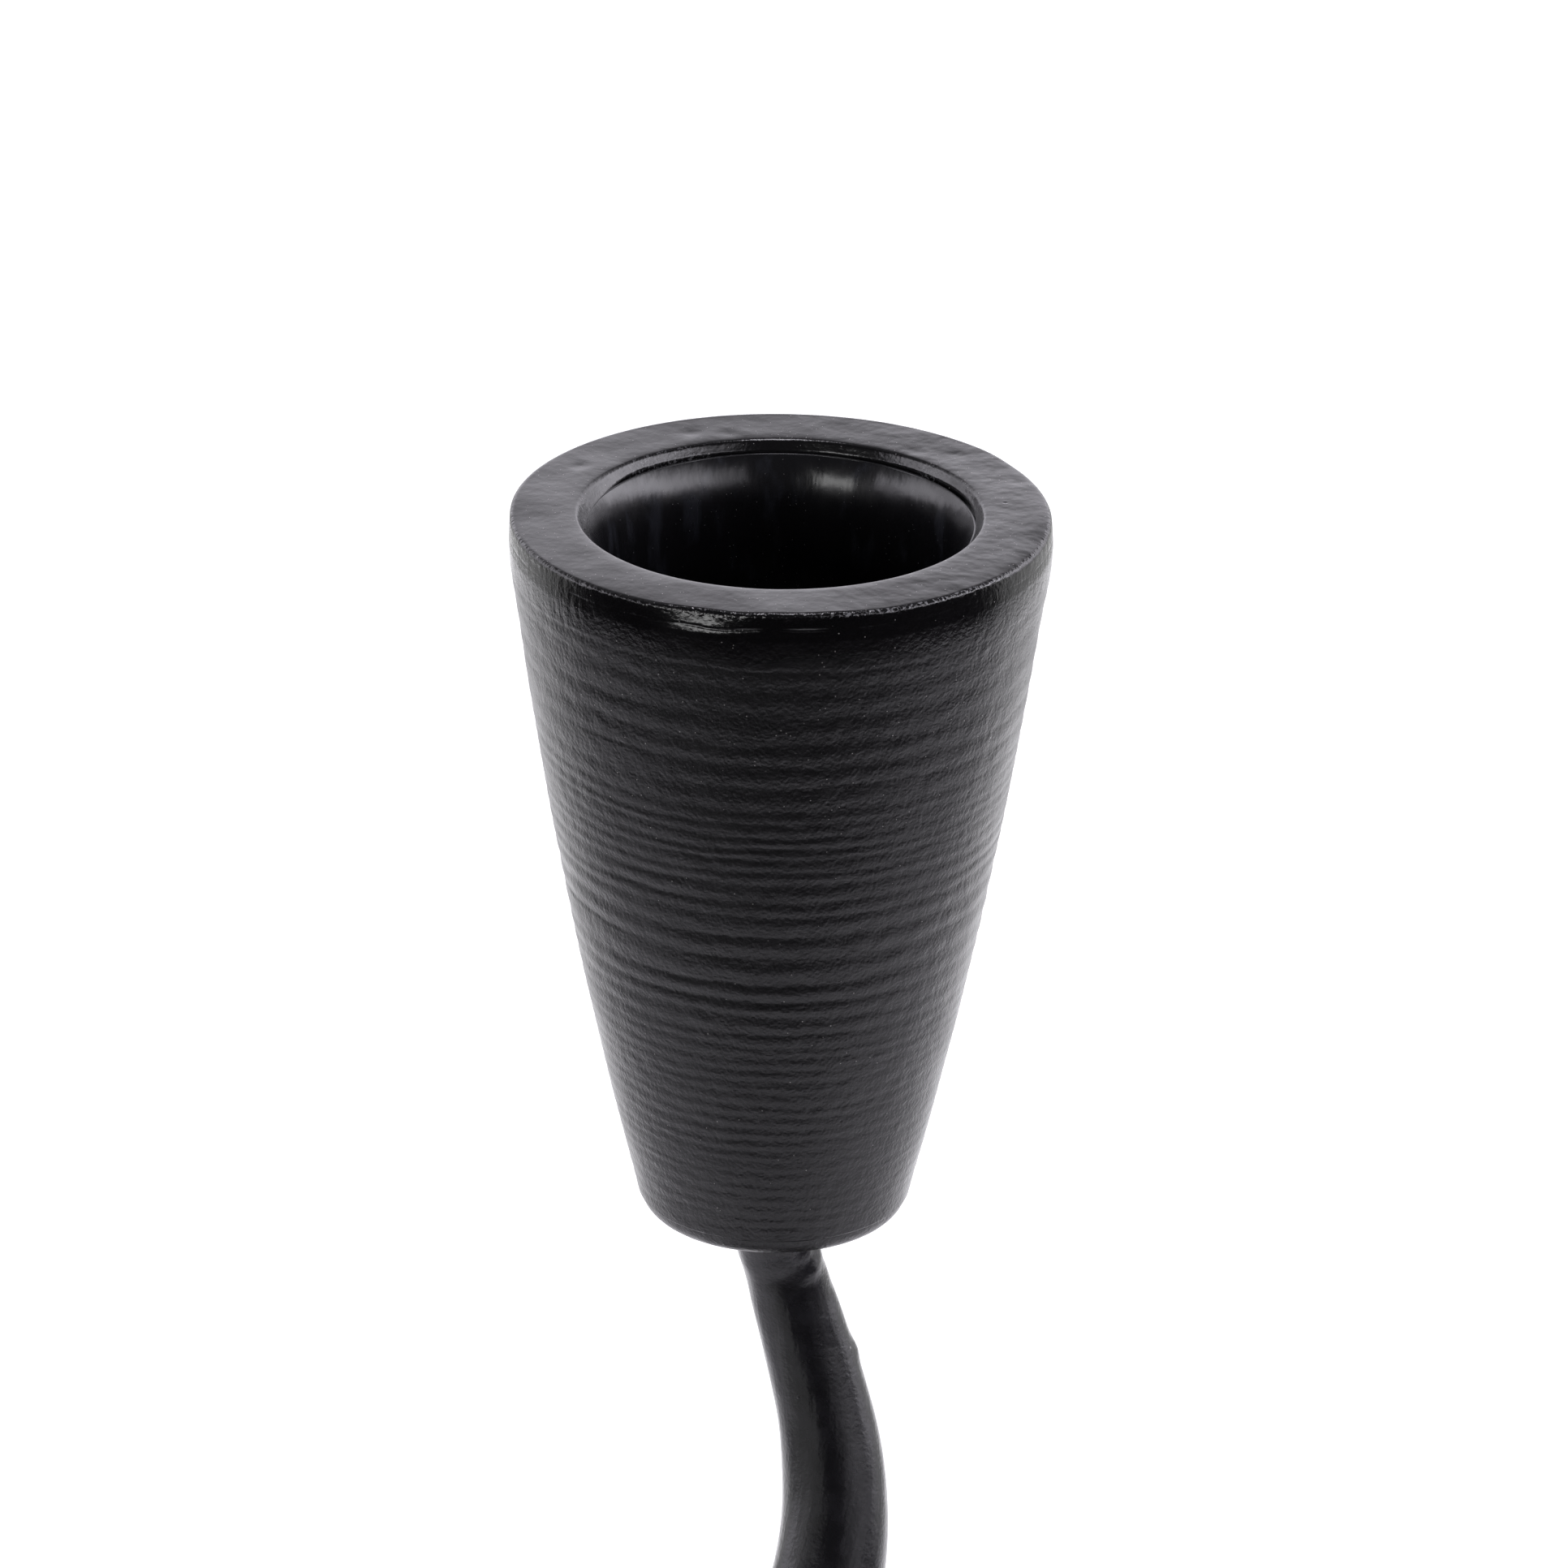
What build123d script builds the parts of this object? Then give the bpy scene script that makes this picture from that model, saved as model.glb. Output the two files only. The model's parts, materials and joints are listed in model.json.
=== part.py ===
"""Candle holder: a cast cup on a tapering rod that spirals down into its own ring foot.

Millimetres, +Z up. The origin is on the table, under the axis of the cup. The front is towards -Y.
"""

from build123d import *
from math import ceil, cos, pi, radians, sin, sqrt
import os

# Candle and its socket
candle_diameter = 22.0
candle_gap = 0.25
socket_depth = 20.4

# Liner, drawn from sheet
liner_wall = 0.6
liner_shoulder = 0.9
liner_corner = 1.5
flange_land = 0.45
flange_edge = 0.25

# Cup, a casting with turned rings
cup_height = 48.7
cup_base_radius = 8.45
cup_base_round = 1.4
cup_floor = 6.0
cup_wall = 2.3
rim_land = 4.55
rim_band = 2.0
rim_round = 0.4
mouth_round = 0.25
lip_height = 0.6
lip_gap = 0.15
pocket_gap = 0.15
pocket_chamfer = 0.35
liner_floor_gap = 0.5
smooth_band = 4.4
wide_ring = 1.75
fine_ring = 0.88
ring_depth = 0.08
wide_rings_above = 5
fine_rings_between = 8
wide_rings_below = 5

# Stem, one cast rod from the neck to the end of the foot
neck_diameter = 4.8
foot_diameter = 10.5
foot_radius = 40.0
spiral_drop = 103.7
start_angle = 34.2
landing_angle = -90.0
whole_turns = 1
foot_angle = 270.0
span_angle = 75.0
sections_per_span = 8
widening_power = 1.09
drop_power = 1.2
taper_power = 3.0
settling_share = 0.12
tangent_probe_share = 0.001
neck_drop = 1.6
collar_height = 2.0
collar_land = 0.6
foot_flat_depth = 0.5

# Spigot, washer and nut that clamp the cup to the stem
spigot_diameter = 4.0
spigot_gap = 0.2
spigot_tip = 1.2
spigot_chamfer = 0.4
washer_diameter = 9.0
washer_thickness = 0.8
washer_room = 2.0
nut_across_flats = 7.0
nut_height = 3.2
nut_chamfer = 0.35
thread_gap = 0.05

# Felt pads under the foot
pad_count = 3
pad_thickness = 1.0
pad_inset = 0.3
pad_angle = 26.0
first_pad_angle = -105.0

# Heights, from the table up
foot_height = pad_thickness + foot_diameter / 2 - foot_flat_depth
neck_height = foot_height + spiral_drop
cup_bottom = neck_height + neck_drop
rim_height = cup_bottom + cup_height
floor_height = cup_bottom + cup_floor
flange_top = rim_height - lip_height
ledge_height = flange_top - liner_wall
socket_floor = flange_top - socket_depth
liner_bottom = socket_floor - liner_wall
pocket_floor = liner_bottom - liner_floor_gap

# Radii about the cup's axis
bore_radius = candle_diameter / 2 + candle_gap
liner_radius = bore_radius + liner_wall
flange_radius = bore_radius + liner_shoulder + flange_land
pocket_radius = liner_radius + pocket_gap
mouth_radius = flange_radius + lip_gap
rim_radius = mouth_radius + rim_land
spigot_radius = spigot_diameter / 2
spigot_hole_radius = spigot_radius + spigot_gap
collar_radius = spigot_hole_radius + collar_land
well_radius = washer_diameter / 2 + washer_room

winding = start_angle - landing_angle + 360.0 * whole_turns
foot_flat_width = 2 * sqrt((foot_diameter / 2) ** 2 - (foot_diameter / 2 - foot_flat_depth) ** 2)


def cup_radius(height):
    """Outside radius of the cone: a parabola through the base, the wall beside the liner and the rim's band."""
    middle = pocket_floor - cup_bottom
    top = cup_height - rim_band
    wall_radius = pocket_radius + cup_wall
    base_share = (height - middle) * (height - top) / (middle * top)
    wall_share = height * (top - height) / (middle * (top - middle))
    rim_share = height * (height - middle) / (top * (top - middle))
    return cup_base_radius * base_share + wall_radius * wall_share + rim_radius * rim_share


def groove_heights():
    """Heights of the grooves between the rings, from the smooth band down to the rounded base."""
    heights = [cup_height - smooth_band]
    bands = (
        (wide_rings_above, wide_ring),
        (fine_rings_between, fine_ring),
        (wide_rings_below, wide_ring),
    )
    for count, pitch in bands:
        for _ in range(count):
            heights.append(heights[-1] - pitch)
    last_count = round((heights[-1] - cup_base_round) / fine_ring)
    last_pitch = (heights[-1] - cup_base_round) / last_count
    for _ in range(last_count):
        heights.append(heights[-1] - last_pitch)
    return heights


def eased(share):
    """A steady growth from 0 to 1 that settles to a stop over its last stretch."""
    if share <= 1 - settling_share:
        return share / (1 - settling_share / 2)
    return 1 - (1 - share) ** 2 / (settling_share * (2 - settling_share))


def spiral_angle(share):
    return radians(start_angle - winding * share)


def spiral_point(share):
    """Centre of the rod at a share of its winding, from the neck to the landing."""
    radius = foot_radius * eased(share**widening_power)
    angle = spiral_angle(share)
    height = foot_height + spiral_drop * (1 - share) ** drop_power
    return Vector(radius * cos(angle), radius * sin(angle), height)


def spiral_plane(share):
    """Plane square to the rod, with its X axis kept towards the outside of the spiral."""
    if share == 0:
        along = Vector(0, 0, -1)
    elif share == 1:
        along = Vector(sin(spiral_angle(1)), -cos(spiral_angle(1)), 0)
    else:
        along = spiral_point(share + tangent_probe_share) - spiral_point(share - tangent_probe_share)
    along = along.normalized()
    outward = Vector(cos(spiral_angle(share)), sin(spiral_angle(share)), 0)
    outward = outward - along * outward.dot(along)
    return Plane(origin=spiral_point(share), x_dir=outward, z_dir=along)


def rod_radius(share):
    grown_share = 1 - (1 - share) ** taper_power
    return (neck_diameter + (foot_diameter - neck_diameter) * grown_share) / 2


os.makedirs("parts", exist_ok=True)

# Cup
with BuildPart() as candle_cup:
    with BuildSketch(Plane.XZ):
        with BuildLine():
            top_edge = Polyline(
                (0, cup_bottom),
                (0, rim_height),
                (rim_radius - rim_round, rim_height),
            )
            rim_edge = (rim_radius, rim_height - rim_round)
            rim_side = (rim_radius, rim_height - rim_band)
            TangentArc(top_edge @ 1, rim_edge, tangent=(1, 0))
            Line(rim_edge, rim_side)
            grooves = groove_heights()
            band_middle = cup_height - (smooth_band + rim_band) / 2
            band_end = (cup_radius(grooves[0]) - ring_depth, cup_bottom + grooves[0])
            ThreePointArc(rim_side, (cup_radius(band_middle), cup_bottom + band_middle), band_end)
            ring_end = band_end
            for upper, lower in zip(grooves, grooves[1:]):
                crest = (upper + lower) / 2
                crest_point = (cup_radius(crest), cup_bottom + crest)
                next_end = (cup_radius(lower) - ring_depth, cup_bottom + lower)
                ThreePointArc(ring_end, crest_point, next_end)
                ring_end = next_end
            base_edge = (cup_base_radius - cup_base_round, cup_bottom)
            TangentArc(base_edge, ring_end, tangent=(1, 0))
            Line(base_edge, top_edge @ 0)
        make_face()
    revolve(axis=Axis.Z)
    with Locations((0, 0, rim_height)):
        CounterBoreHole(
            radius=pocket_radius,
            counter_bore_radius=mouth_radius,
            counter_bore_depth=rim_height - ledge_height,
            depth=rim_height - pocket_floor,
        )
    with Locations((0, 0, pocket_floor)):
        Hole(radius=well_radius, depth=pocket_floor - floor_height)
    with Locations((0, 0, floor_height)):
        Hole(radius=spigot_hole_radius, depth=cup_floor)
    top_face = candle_cup.faces().filter_by(Plane.XY).sort_by(Axis.Z)[-1]
    fillet(top_face.edges().sort_by(SortBy.LENGTH)[0], radius=mouth_round)
    ledge_face = candle_cup.faces().filter_by(Plane.XY).sort_by(Axis.Z)[-2]
    chamfer(ledge_face.edges().sort_by(SortBy.LENGTH)[0], length=pocket_chamfer)
candle_cup.part.label = "candle_cup"
export_step(candle_cup.part, "parts/candle_cup.step")

# Liner
with BuildPart() as socket_liner:
    with BuildSketch(Plane.XZ):
        with BuildLine():
            shoulder_radius = bore_radius + liner_shoulder
            shoulder_height = flange_top - liner_shoulder
            corner_radius = bore_radius - liner_corner
            corner_height = socket_floor + liner_corner
            Line((0, socket_floor), (corner_radius, socket_floor))
            TangentArc((corner_radius, socket_floor), (bore_radius, corner_height), tangent=(1, 0))
            Line((bore_radius, corner_height), (bore_radius, shoulder_height))
            TangentArc((bore_radius, shoulder_height), (shoulder_radius, flange_top), tangent=(0, 1))
            Line((shoulder_radius, flange_top), (flange_radius - flange_edge, flange_top))
            TangentArc(
                (flange_radius - flange_edge, flange_top),
                (flange_radius, flange_top - flange_edge),
                tangent=(1, 0),
            )
            Line((flange_radius, flange_top - flange_edge), (flange_radius, ledge_height))
            Line((flange_radius, ledge_height), (shoulder_radius, ledge_height))
            TangentArc((shoulder_radius, ledge_height), (liner_radius, shoulder_height), tangent=(-1, 0))
            Line((liner_radius, shoulder_height), (liner_radius, corner_height))
            TangentArc((liner_radius, corner_height), (corner_radius, liner_bottom), tangent=(0, -1))
            Line((corner_radius, liner_bottom), (0, liner_bottom))
            Line((0, liner_bottom), (0, socket_floor))
        make_face()
    revolve(axis=Axis.Z)
socket_liner.part.label = "socket_liner"
export_step(socket_liner.part, "parts/socket_liner.step")

# Stem
with BuildPart() as spiral_stem:
    span_count = ceil(winding / span_angle)
    for span in range(span_count):
        for section in range(sections_per_span + 1):
            share = (span + section / sections_per_span) / span_count
            with BuildSketch(spiral_plane(share)):
                Circle(rod_radius(share))
        loft()
    spiral_volume = spiral_stem.part.volume
    with BuildSketch(spiral_plane(1)):
        Circle(foot_diameter / 2)
    revolve(axis=Axis.Z, revolution_arc=-foot_angle)
    tail_angle = radians(landing_angle - foot_angle)
    with Locations((foot_radius * cos(tail_angle), foot_radius * sin(tail_angle), foot_height)):
        Sphere(foot_diameter / 2)
    split(bisect_by=Plane.XY.offset(pad_thickness), keep=Keep.TOP)
    with BuildSketch(Plane.XY.offset(cup_bottom - collar_height)):
        Circle(collar_radius)
    extrude(amount=collar_height)
    spigot_length = cup_floor + washer_thickness + nut_height + spigot_tip
    with BuildSketch(Plane.XY.offset(cup_bottom)):
        Circle(spigot_radius)
    extrude(amount=spigot_length)
    tip_face = spiral_stem.faces().filter_by(Plane.XY).sort_by(Axis.Z)[-1]
    chamfer(tip_face.edges(), length=spigot_chamfer)
spiral_stem.part.label = "spiral_stem"
export_step(spiral_stem.part, "parts/spiral_stem.step")

# Washer
with BuildPart() as clamp_washer:
    with BuildSketch(Plane.XY.offset(floor_height)):
        Circle(washer_diameter / 2)
        Circle(spigot_hole_radius, mode=Mode.SUBTRACT)
    extrude(amount=washer_thickness)
clamp_washer.part.label = "clamp_washer"
export_step(clamp_washer.part, "parts/clamp_washer.step")

# Nut
with BuildPart() as clamp_nut:
    nut_seat = floor_height + washer_thickness
    with BuildSketch(Plane.XY.offset(nut_seat)):
        RegularPolygon(radius=nut_across_flats / 2, side_count=6, major_radius=False)
        Circle(spigot_radius + thread_gap, mode=Mode.SUBTRACT)
    extrude(amount=nut_height)
    with BuildSketch(Plane.XZ):
        with BuildLine():
            nut_corner = nut_across_flats / sqrt(3)
            nut_top = nut_seat + nut_height
            Polyline(
                (0, nut_seat),
                (nut_corner - nut_chamfer, nut_seat),
                (nut_corner, nut_seat + nut_chamfer),
                (nut_corner, nut_top - nut_chamfer),
                (nut_corner - nut_chamfer, nut_top),
                (0, nut_top),
                close=True,
            )
        make_face()
    revolve(axis=Axis.Z, mode=Mode.INTERSECT)
clamp_nut.part.label = "clamp_nut"
export_step(clamp_nut.part, "parts/clamp_nut.step")

# Felt pads
for pad in range(pad_count):
    pad_middle = first_pad_angle - pad * 360.0 / pad_count
    with BuildPart() as felt_pad:
        with BuildSketch(Plane.XY):
            with BuildLine(mode=Mode.PRIVATE) as pad_line:
                CenterArc((0, 0), foot_radius, pad_middle - pad_angle / 2, pad_angle)
            SlotArc(pad_line.edge(), foot_flat_width - 2 * pad_inset)
        extrude(amount=pad_thickness)
    felt_pad.part.label = f"felt_pad_{pad + 1}"
    export_step(felt_pad.part, f"parts/felt_pad_{pad + 1}.step")

# The spiral's volume against its sections along its length
slices = 400
expected_volume = 0.0
for step in range(slices):
    length = (spiral_point((step + 1) / slices) - spiral_point(step / slices)).length
    area = pi * rod_radius((step + 0.5) / slices) ** 2
    expected_volume += length * area
print(f"spiral volume {spiral_volume:.1f} mm3, expected {expected_volume:.1f} mm3")
print(f"rim {2 * rim_radius:.2f} mm across, {rim_height:.2f} mm above the table")
print(f"foot {2 * foot_radius + foot_diameter:.2f} mm across")
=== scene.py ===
# %% [markdown]
# # Spiral candle holder
# A black cast cup stands on one tapering rod, which winds down in an open spiral and lands as its own ring
# foot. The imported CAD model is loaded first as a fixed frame, in metres, with the table at z = 0 and the
# front towards -Y. Every piece made below takes the place of one CAD node, so nothing has to be fitted.

# %% Load the frame
import bisect
import json
import math

import bmesh
import bpy
from mathutils import Matrix, Vector, noise

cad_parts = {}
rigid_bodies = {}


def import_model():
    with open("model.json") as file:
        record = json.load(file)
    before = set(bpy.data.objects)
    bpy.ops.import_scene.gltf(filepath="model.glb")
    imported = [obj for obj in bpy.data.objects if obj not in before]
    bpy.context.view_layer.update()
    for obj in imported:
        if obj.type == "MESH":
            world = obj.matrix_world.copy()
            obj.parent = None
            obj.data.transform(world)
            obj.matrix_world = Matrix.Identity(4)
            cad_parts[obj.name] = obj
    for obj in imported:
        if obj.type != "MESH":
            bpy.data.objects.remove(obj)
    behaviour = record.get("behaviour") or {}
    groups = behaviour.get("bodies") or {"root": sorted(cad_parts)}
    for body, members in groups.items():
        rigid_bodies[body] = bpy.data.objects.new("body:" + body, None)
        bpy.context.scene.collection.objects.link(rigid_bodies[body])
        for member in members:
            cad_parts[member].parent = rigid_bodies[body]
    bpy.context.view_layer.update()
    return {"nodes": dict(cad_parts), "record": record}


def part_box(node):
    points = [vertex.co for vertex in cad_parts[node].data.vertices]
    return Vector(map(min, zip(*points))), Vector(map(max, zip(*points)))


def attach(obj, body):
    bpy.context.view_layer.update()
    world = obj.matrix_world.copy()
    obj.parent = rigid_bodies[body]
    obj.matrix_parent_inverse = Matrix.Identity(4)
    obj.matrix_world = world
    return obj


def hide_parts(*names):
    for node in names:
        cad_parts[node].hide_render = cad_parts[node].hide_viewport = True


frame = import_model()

scene = bpy.context.scene
print("nodes:", ", ".join(sorted(frame["nodes"])))

# %% [markdown]
# ## Camera
# The photograph is a close view of the top of the holder, taken with a long lens from a little above. Four
# values were measured from the ellipse of the rim: the camera's distance, its height, the pixel on which the
# rim's centre falls, and a slight roll. The lens is turned until that pixel looks at the rim's centre, so no
# lens shift is needed.

# %% Place the camera
photo_pixels = 1932
focal_pixels = 13580
rim_centre_pixel = (961.8, 628.8)
sensor_width = 36.0
camera_distance = 0.70
camera_elevation = math.radians(21.8)
camera_roll = math.radians(0.58)
nearest_seen = 0.01

cup_low, cup_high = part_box("candle_cup")
rim_height = cup_high.z
rim_centre = Vector((0, 0, rim_height))

towards_camera = Vector((0, -math.cos(camera_elevation), math.sin(camera_elevation)))
picture_right = Vector((1, 0, 0))
picture_up = towards_camera.cross(picture_right)
level_axes = Matrix((picture_right, picture_up, towards_camera)).transposed()

half_frame = photo_pixels / 2
rim_ray = Vector((
    (rim_centre_pixel[0] - half_frame) / focal_pixels,
    (half_frame - rim_centre_pixel[1]) / focal_pixels,
    -1,
))
turn_to_pixel = Vector((0, 0, -1)).rotation_difference(rim_ray).to_matrix()
camera_axes = level_axes @ Matrix.Rotation(camera_roll, 3, "Z") @ turn_to_pixel.transposed()

lens = bpy.data.cameras.new("photo_camera")
lens.sensor_width = sensor_width
lens.lens = focal_pixels * sensor_width / photo_pixels
lens.clip_start = nearest_seen
camera = bpy.data.objects.new("photo_camera", lens)
camera.matrix_world = Matrix.Translation(rim_centre + camera_distance * towards_camera) @ camera_axes.to_4x4()
scene.collection.objects.link(camera)
scene.camera = camera
print(f"camera with a {lens.lens:.0f} mm lens, {camera_distance} m from the rim")

# %% [markdown]
# ## Helpers
# Materials here are small node trees. Writing each node as one call, with its inputs given as numbers or as
# another node's output, keeps a tree readable from top to bottom.

# %% Helpers for nodes
MIX_FACTOR, MIX_A, MIX_B, MIX_RESULT = 0, 6, 7, 2


def empty_tree(holder):
    """The node tree of a material or a world, with nothing in it."""
    holder.use_nodes = True
    holder.node_tree.nodes.clear()
    return holder.node_tree


def set_inputs(tree, node, inputs):
    """Sets a node's inputs. Each is a value, or the output socket of an earlier node."""
    for socket, value in dict(inputs).items():
        if isinstance(value, bpy.types.NodeSocket):
            tree.links.new(value, node.inputs[socket])
        else:
            node.inputs[socket].default_value = value


def add_node(tree, kind, inputs=(), **options):
    """Adds one shader node."""
    made = tree.nodes.new("ShaderNode" + kind)
    for name, value in options.items():
        setattr(made, name, value)
    set_inputs(tree, made, inputs)
    return made


def math_node(tree, operation, *values):
    """A Math node's output, with its inputs in order."""
    return add_node(tree, "Math", enumerate(values), operation=operation).outputs[0]


def smooth_range(tree, value, low, high, at_low=0.0, at_high=1.0):
    """Eases from one value to another while the input goes from low to high."""
    steps = {"Value": value, "From Min": low, "From Max": high, "To Min": at_low, "To Max": at_high}
    return add_node(tree, "MapRange", steps, interpolation_type="SMOOTHSTEP").outputs["Result"]


def product(tree, first, *others):
    """Multiplies values in a row."""
    for value in others:
        first = math_node(tree, "MULTIPLY", first, value)
    return first


def distance_to(tree, place, centre):
    """How far a place is from a fixed point."""
    return add_node(tree, "VectorMath", {0: place, 1: centre}, operation="DISTANCE").outputs["Value"]


def mix_colours(tree, factor, first, second):
    """Blends two colours by a factor."""
    sockets = {MIX_FACTOR: factor, MIX_A: first, MIX_B: second}
    return add_node(tree, "Mix", sockets, data_type="RGBA").outputs[MIX_RESULT]


print("node helpers ready")

# %% [markdown]
# Shapes and lamps need a few helpers too. Most places on this object are known by their angle round the axis,
# and most bmesh operators return points, edges and faces in one list.

# %% Helpers for shapes and lamps
def on_ring(angle, radius=1.0, height=0.0):
    """A place, by its angle round the axis, its distance from the axis and its height."""
    return Vector((radius * math.cos(angle), radius * math.sin(angle), height))


def polar(place):
    """Distance of a place from the axis, and its angle round it."""
    return math.hypot(place.x, place.y), math.atan2(place.y, place.x)


def points_of(made):
    """The points among what an operator made."""
    return [item for item in made if isinstance(item, bmesh.types.BMVert)]


def edges_of(made):
    """The edges among what an operator made."""
    return [item for item in made if isinstance(item, bmesh.types.BMEdge)]


def new_object(name, bm, material):
    """Turns a bmesh into an object with one material."""
    mesh = bpy.data.meshes.new(name)
    bm.to_mesh(mesh)
    bm.free()
    mesh.materials.append(material)
    made = bpy.data.objects.new(name, mesh)
    scene.collection.objects.link(made)
    return made


def area_light(name, towards, place, width, height, power):
    """A rectangular lamp at a place, hidden from the camera. It shines against the given direction."""
    lamp = bpy.data.lights.new(name, "AREA")
    lamp.shape = "RECTANGLE"
    lamp.size, lamp.size_y = width, height
    lamp.energy = power
    holder = bpy.data.objects.new(name, lamp)
    holder.location = place
    holder.rotation_euler = towards.to_track_quat("Z", "Y").to_euler()
    holder.visible_camera = False
    scene.collection.objects.link(holder)
    return holder


def light_only(holder, *pieces):
    """Flags a lamp, so that its light reaches some pieces only."""
    reached = bpy.data.collections.new("lit_by_" + holder.name)
    for piece in pieces:
        reached.objects.link(piece)
    holder.light_linking.receiver_collection = reached


print("shape and lamp helpers ready")

# %% [markdown]
# ## Studio
# The photograph was taken against pure white. What gives a black object its shape is what it mirrors: a white
# wall behind it, a bright panel on each side, a dim ceiling with one small lamp straight overhead, and a dark
# room behind the camera. So the world is a soft pattern by direction, and each part fades over a range of the
# direction's right, back or up share. Camera rays see plain white instead, which makes the background.

# %% World
wall_level, ceiling_level, wall_fade = 1.62, 0.22, (0.28, 0.75)
room_level, room_fade = 0.05, (-0.25, 0.25)
panel_foot_fade, panel_top_fade = (0.08, 0.24), (0.32, 0.62)
left_panel_level, left_panel_fade = 3.4, (-0.78, -0.95)
right_panel_level, right_panel_fade = 5.0, (0.5, 0.95)
right_front_level, right_front_fade = 1.6, (0.3, 0.46)
overhead_level, overhead_fade = 11.0, (0.978, 0.990)
studio_tint = (0.98, 0.955, 1.035, 1)
white = (1, 1, 1, 1)

scene.view_settings.view_transform = "Standard"
world = bpy.data.worlds.new("white_studio")
scene.world = world
tree = empty_tree(world)
direction = add_node(tree, "SeparateXYZ", {0: add_node(tree, "TexCoord").outputs["Generated"]})
right, back, up = (direction.outputs[axis] for axis in "XYZ")
low_down = smooth_range(tree, up, *wall_fade, 1.0, 0.0)
walls = math_node(tree, "MULTIPLY_ADD", low_down, wall_level - ceiling_level, ceiling_level)
behind = smooth_range(tree, back, *room_fade)
level = math_node(tree, "MULTIPLY_ADD", behind, math_node(tree, "SUBTRACT", walls, room_level), room_level)
panel_top = smooth_range(tree, up, *panel_top_fade, 1.0, 0.0)
panel_foot = smooth_range(tree, up, *panel_foot_fade)
on_left = smooth_range(tree, right, *left_panel_fade, 0.0, left_panel_level)
on_right = smooth_range(tree, right, *right_panel_fade, 0.0, right_panel_level - right_front_level)
right_front = smooth_range(tree, right, *right_front_fade, 0.0, right_front_level)
panels = math_node(tree, "ADD", on_left, math_node(tree, "ADD", on_right, right_front))
panels = product(tree, panels, product(tree, panel_top, panel_foot))
level = math_node(tree, "MAXIMUM", level, panels)
level = math_node(tree, "MAXIMUM", level, smooth_range(tree, up, *overhead_fade, 0.0, overhead_level))
studio = add_node(tree, "Background", {"Color": studio_tint, "Strength": level})
backdrop = add_node(tree, "Background", {"Color": white, "Strength": 1.0})
seen = add_node(tree, "LightPath").outputs["Is Camera Ray"]
shown = add_node(tree, "MixShader", {0: seen, 1: studio.outputs[0], 2: backdrop.outputs[0]})
add_node(tree, "OutputWorld", {"Surface": shown.outputs[0]})
print(f"world: walls {wall_level}, ceiling {ceiling_level}, room {room_level}, white for the camera")

# %% [markdown]
# The floor is a pale sheet. The front of the cone mirrors it a hand's width in front of the holder, where the
# light falls off towards the dark room, and the band under the rim mirrors it outside the pool of light that
# the holder stands in: the dark facet under the edge of the rim shows where that pool ends. So for everything
# but the camera that pool of light is painted into the sheet's colour: painted shade towards the front and
# outside the pool, and a painted brightening near its middle. For the camera it adds a little light of its
# own, and so it does for reflections behind the holder, less far from the pool's middle. In the open that
# brings it up to white, and where the holder keeps light off it the shadow stays.

# %% Floor finish
floor_glow = 0.6
mirrored_glow, mirrored_fade = 1.15, (0.0, 0.24)
far_glow_share, glow_fade = 0.75, (0.2, 0.3)
paper_level, painted_front_shade_level, front_fade = 0.8, 0.12, (-0.19, -0.06)
pool_centre, pool_fade, outside_pool_share = (0, 0.07, 0), (0.318, 0.358), 0.03
bright_centre, bright_fade, bright_gain = (0.05, 0.05, 0), (0.15, 0.245), 1.45

paper = bpy.data.materials.new("white_paper")
tree = empty_tree(paper)
place = add_node(tree, "TexCoord").outputs["Object"]
towards_back = add_node(tree, "SeparateXYZ", {0: place}).outputs["Y"]
behind = smooth_range(tree, towards_back, *mirrored_fade)
path = add_node(tree, "LightPath")
seen = math_node(tree, "MAXIMUM", path.outputs["Is Camera Ray"], path.outputs["Is Transmission Ray"])
mirrored = product(tree, path.outputs["Is Glossy Ray"], behind)
from_pool = distance_to(tree, place, pool_centre)
glow_level = smooth_range(tree, from_pool, *glow_fade, mirrored_glow, far_glow_share * mirrored_glow)
strength = math_node(tree, "MULTIPLY_ADD", seen, floor_glow, product(tree, mirrored, glow_level))
glow = add_node(tree, "Emission", {"Strength": strength})
# Painted pool of light: the sheet's colour darkens towards the front and outside the pool, and brightens near
# its middle.
painted_light_pool = product(
    tree,
    smooth_range(tree, towards_back, *front_fade, painted_front_shade_level, paper_level),
    smooth_range(tree, from_pool, *pool_fade, 1.0, outside_pool_share),
    smooth_range(tree, distance_to(tree, place, bright_centre), *bright_fade, bright_gain, 1.0),
)
shade = add_node(tree, "CombineColor", {0: painted_light_pool, 1: painted_light_pool, 2: painted_light_pool}).outputs[0]
pale = (paper_level, paper_level, paper_level, 1)
sheet_colour = mix_colours(tree, path.outputs["Is Camera Ray"], shade, pale)
sheet = add_node(tree, "BsdfDiffuse", {"Color": sheet_colour})
both = add_node(tree, "AddShader", {0: sheet.outputs[0], 1: glow.outputs[0]})
add_node(tree, "OutputMaterial", {"Surface": both.outputs[0]})
print("material white_paper:", len(tree.nodes), "nodes")

# %% Floor sheet
floor_front, floor_back, floor_side = -2.0, 2.5, 2.0

bm = bmesh.new()
bmesh.ops.create_grid(bm, x_segments=1, y_segments=1, size=1)
bmesh.ops.scale(bm, vec=(floor_side, (floor_back - floor_front) / 2, 1), verts=bm.verts)
bmesh.ops.translate(bm, vec=(0, (floor_back + floor_front) / 2, 0), verts=bm.verts)
floor = new_object("floor", bm, paper)
print(f"floor from y = {floor_front} m to {floor_back} m")

# %% [markdown]
# One softbox stands in front, to the left and a little above. Its place follows from two highlights in the
# photograph that have to come from the same lamp: the bright patch on the front edge of the rim, left of the
# middle, and the small one at the back of the socket, right of the middle.

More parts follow.
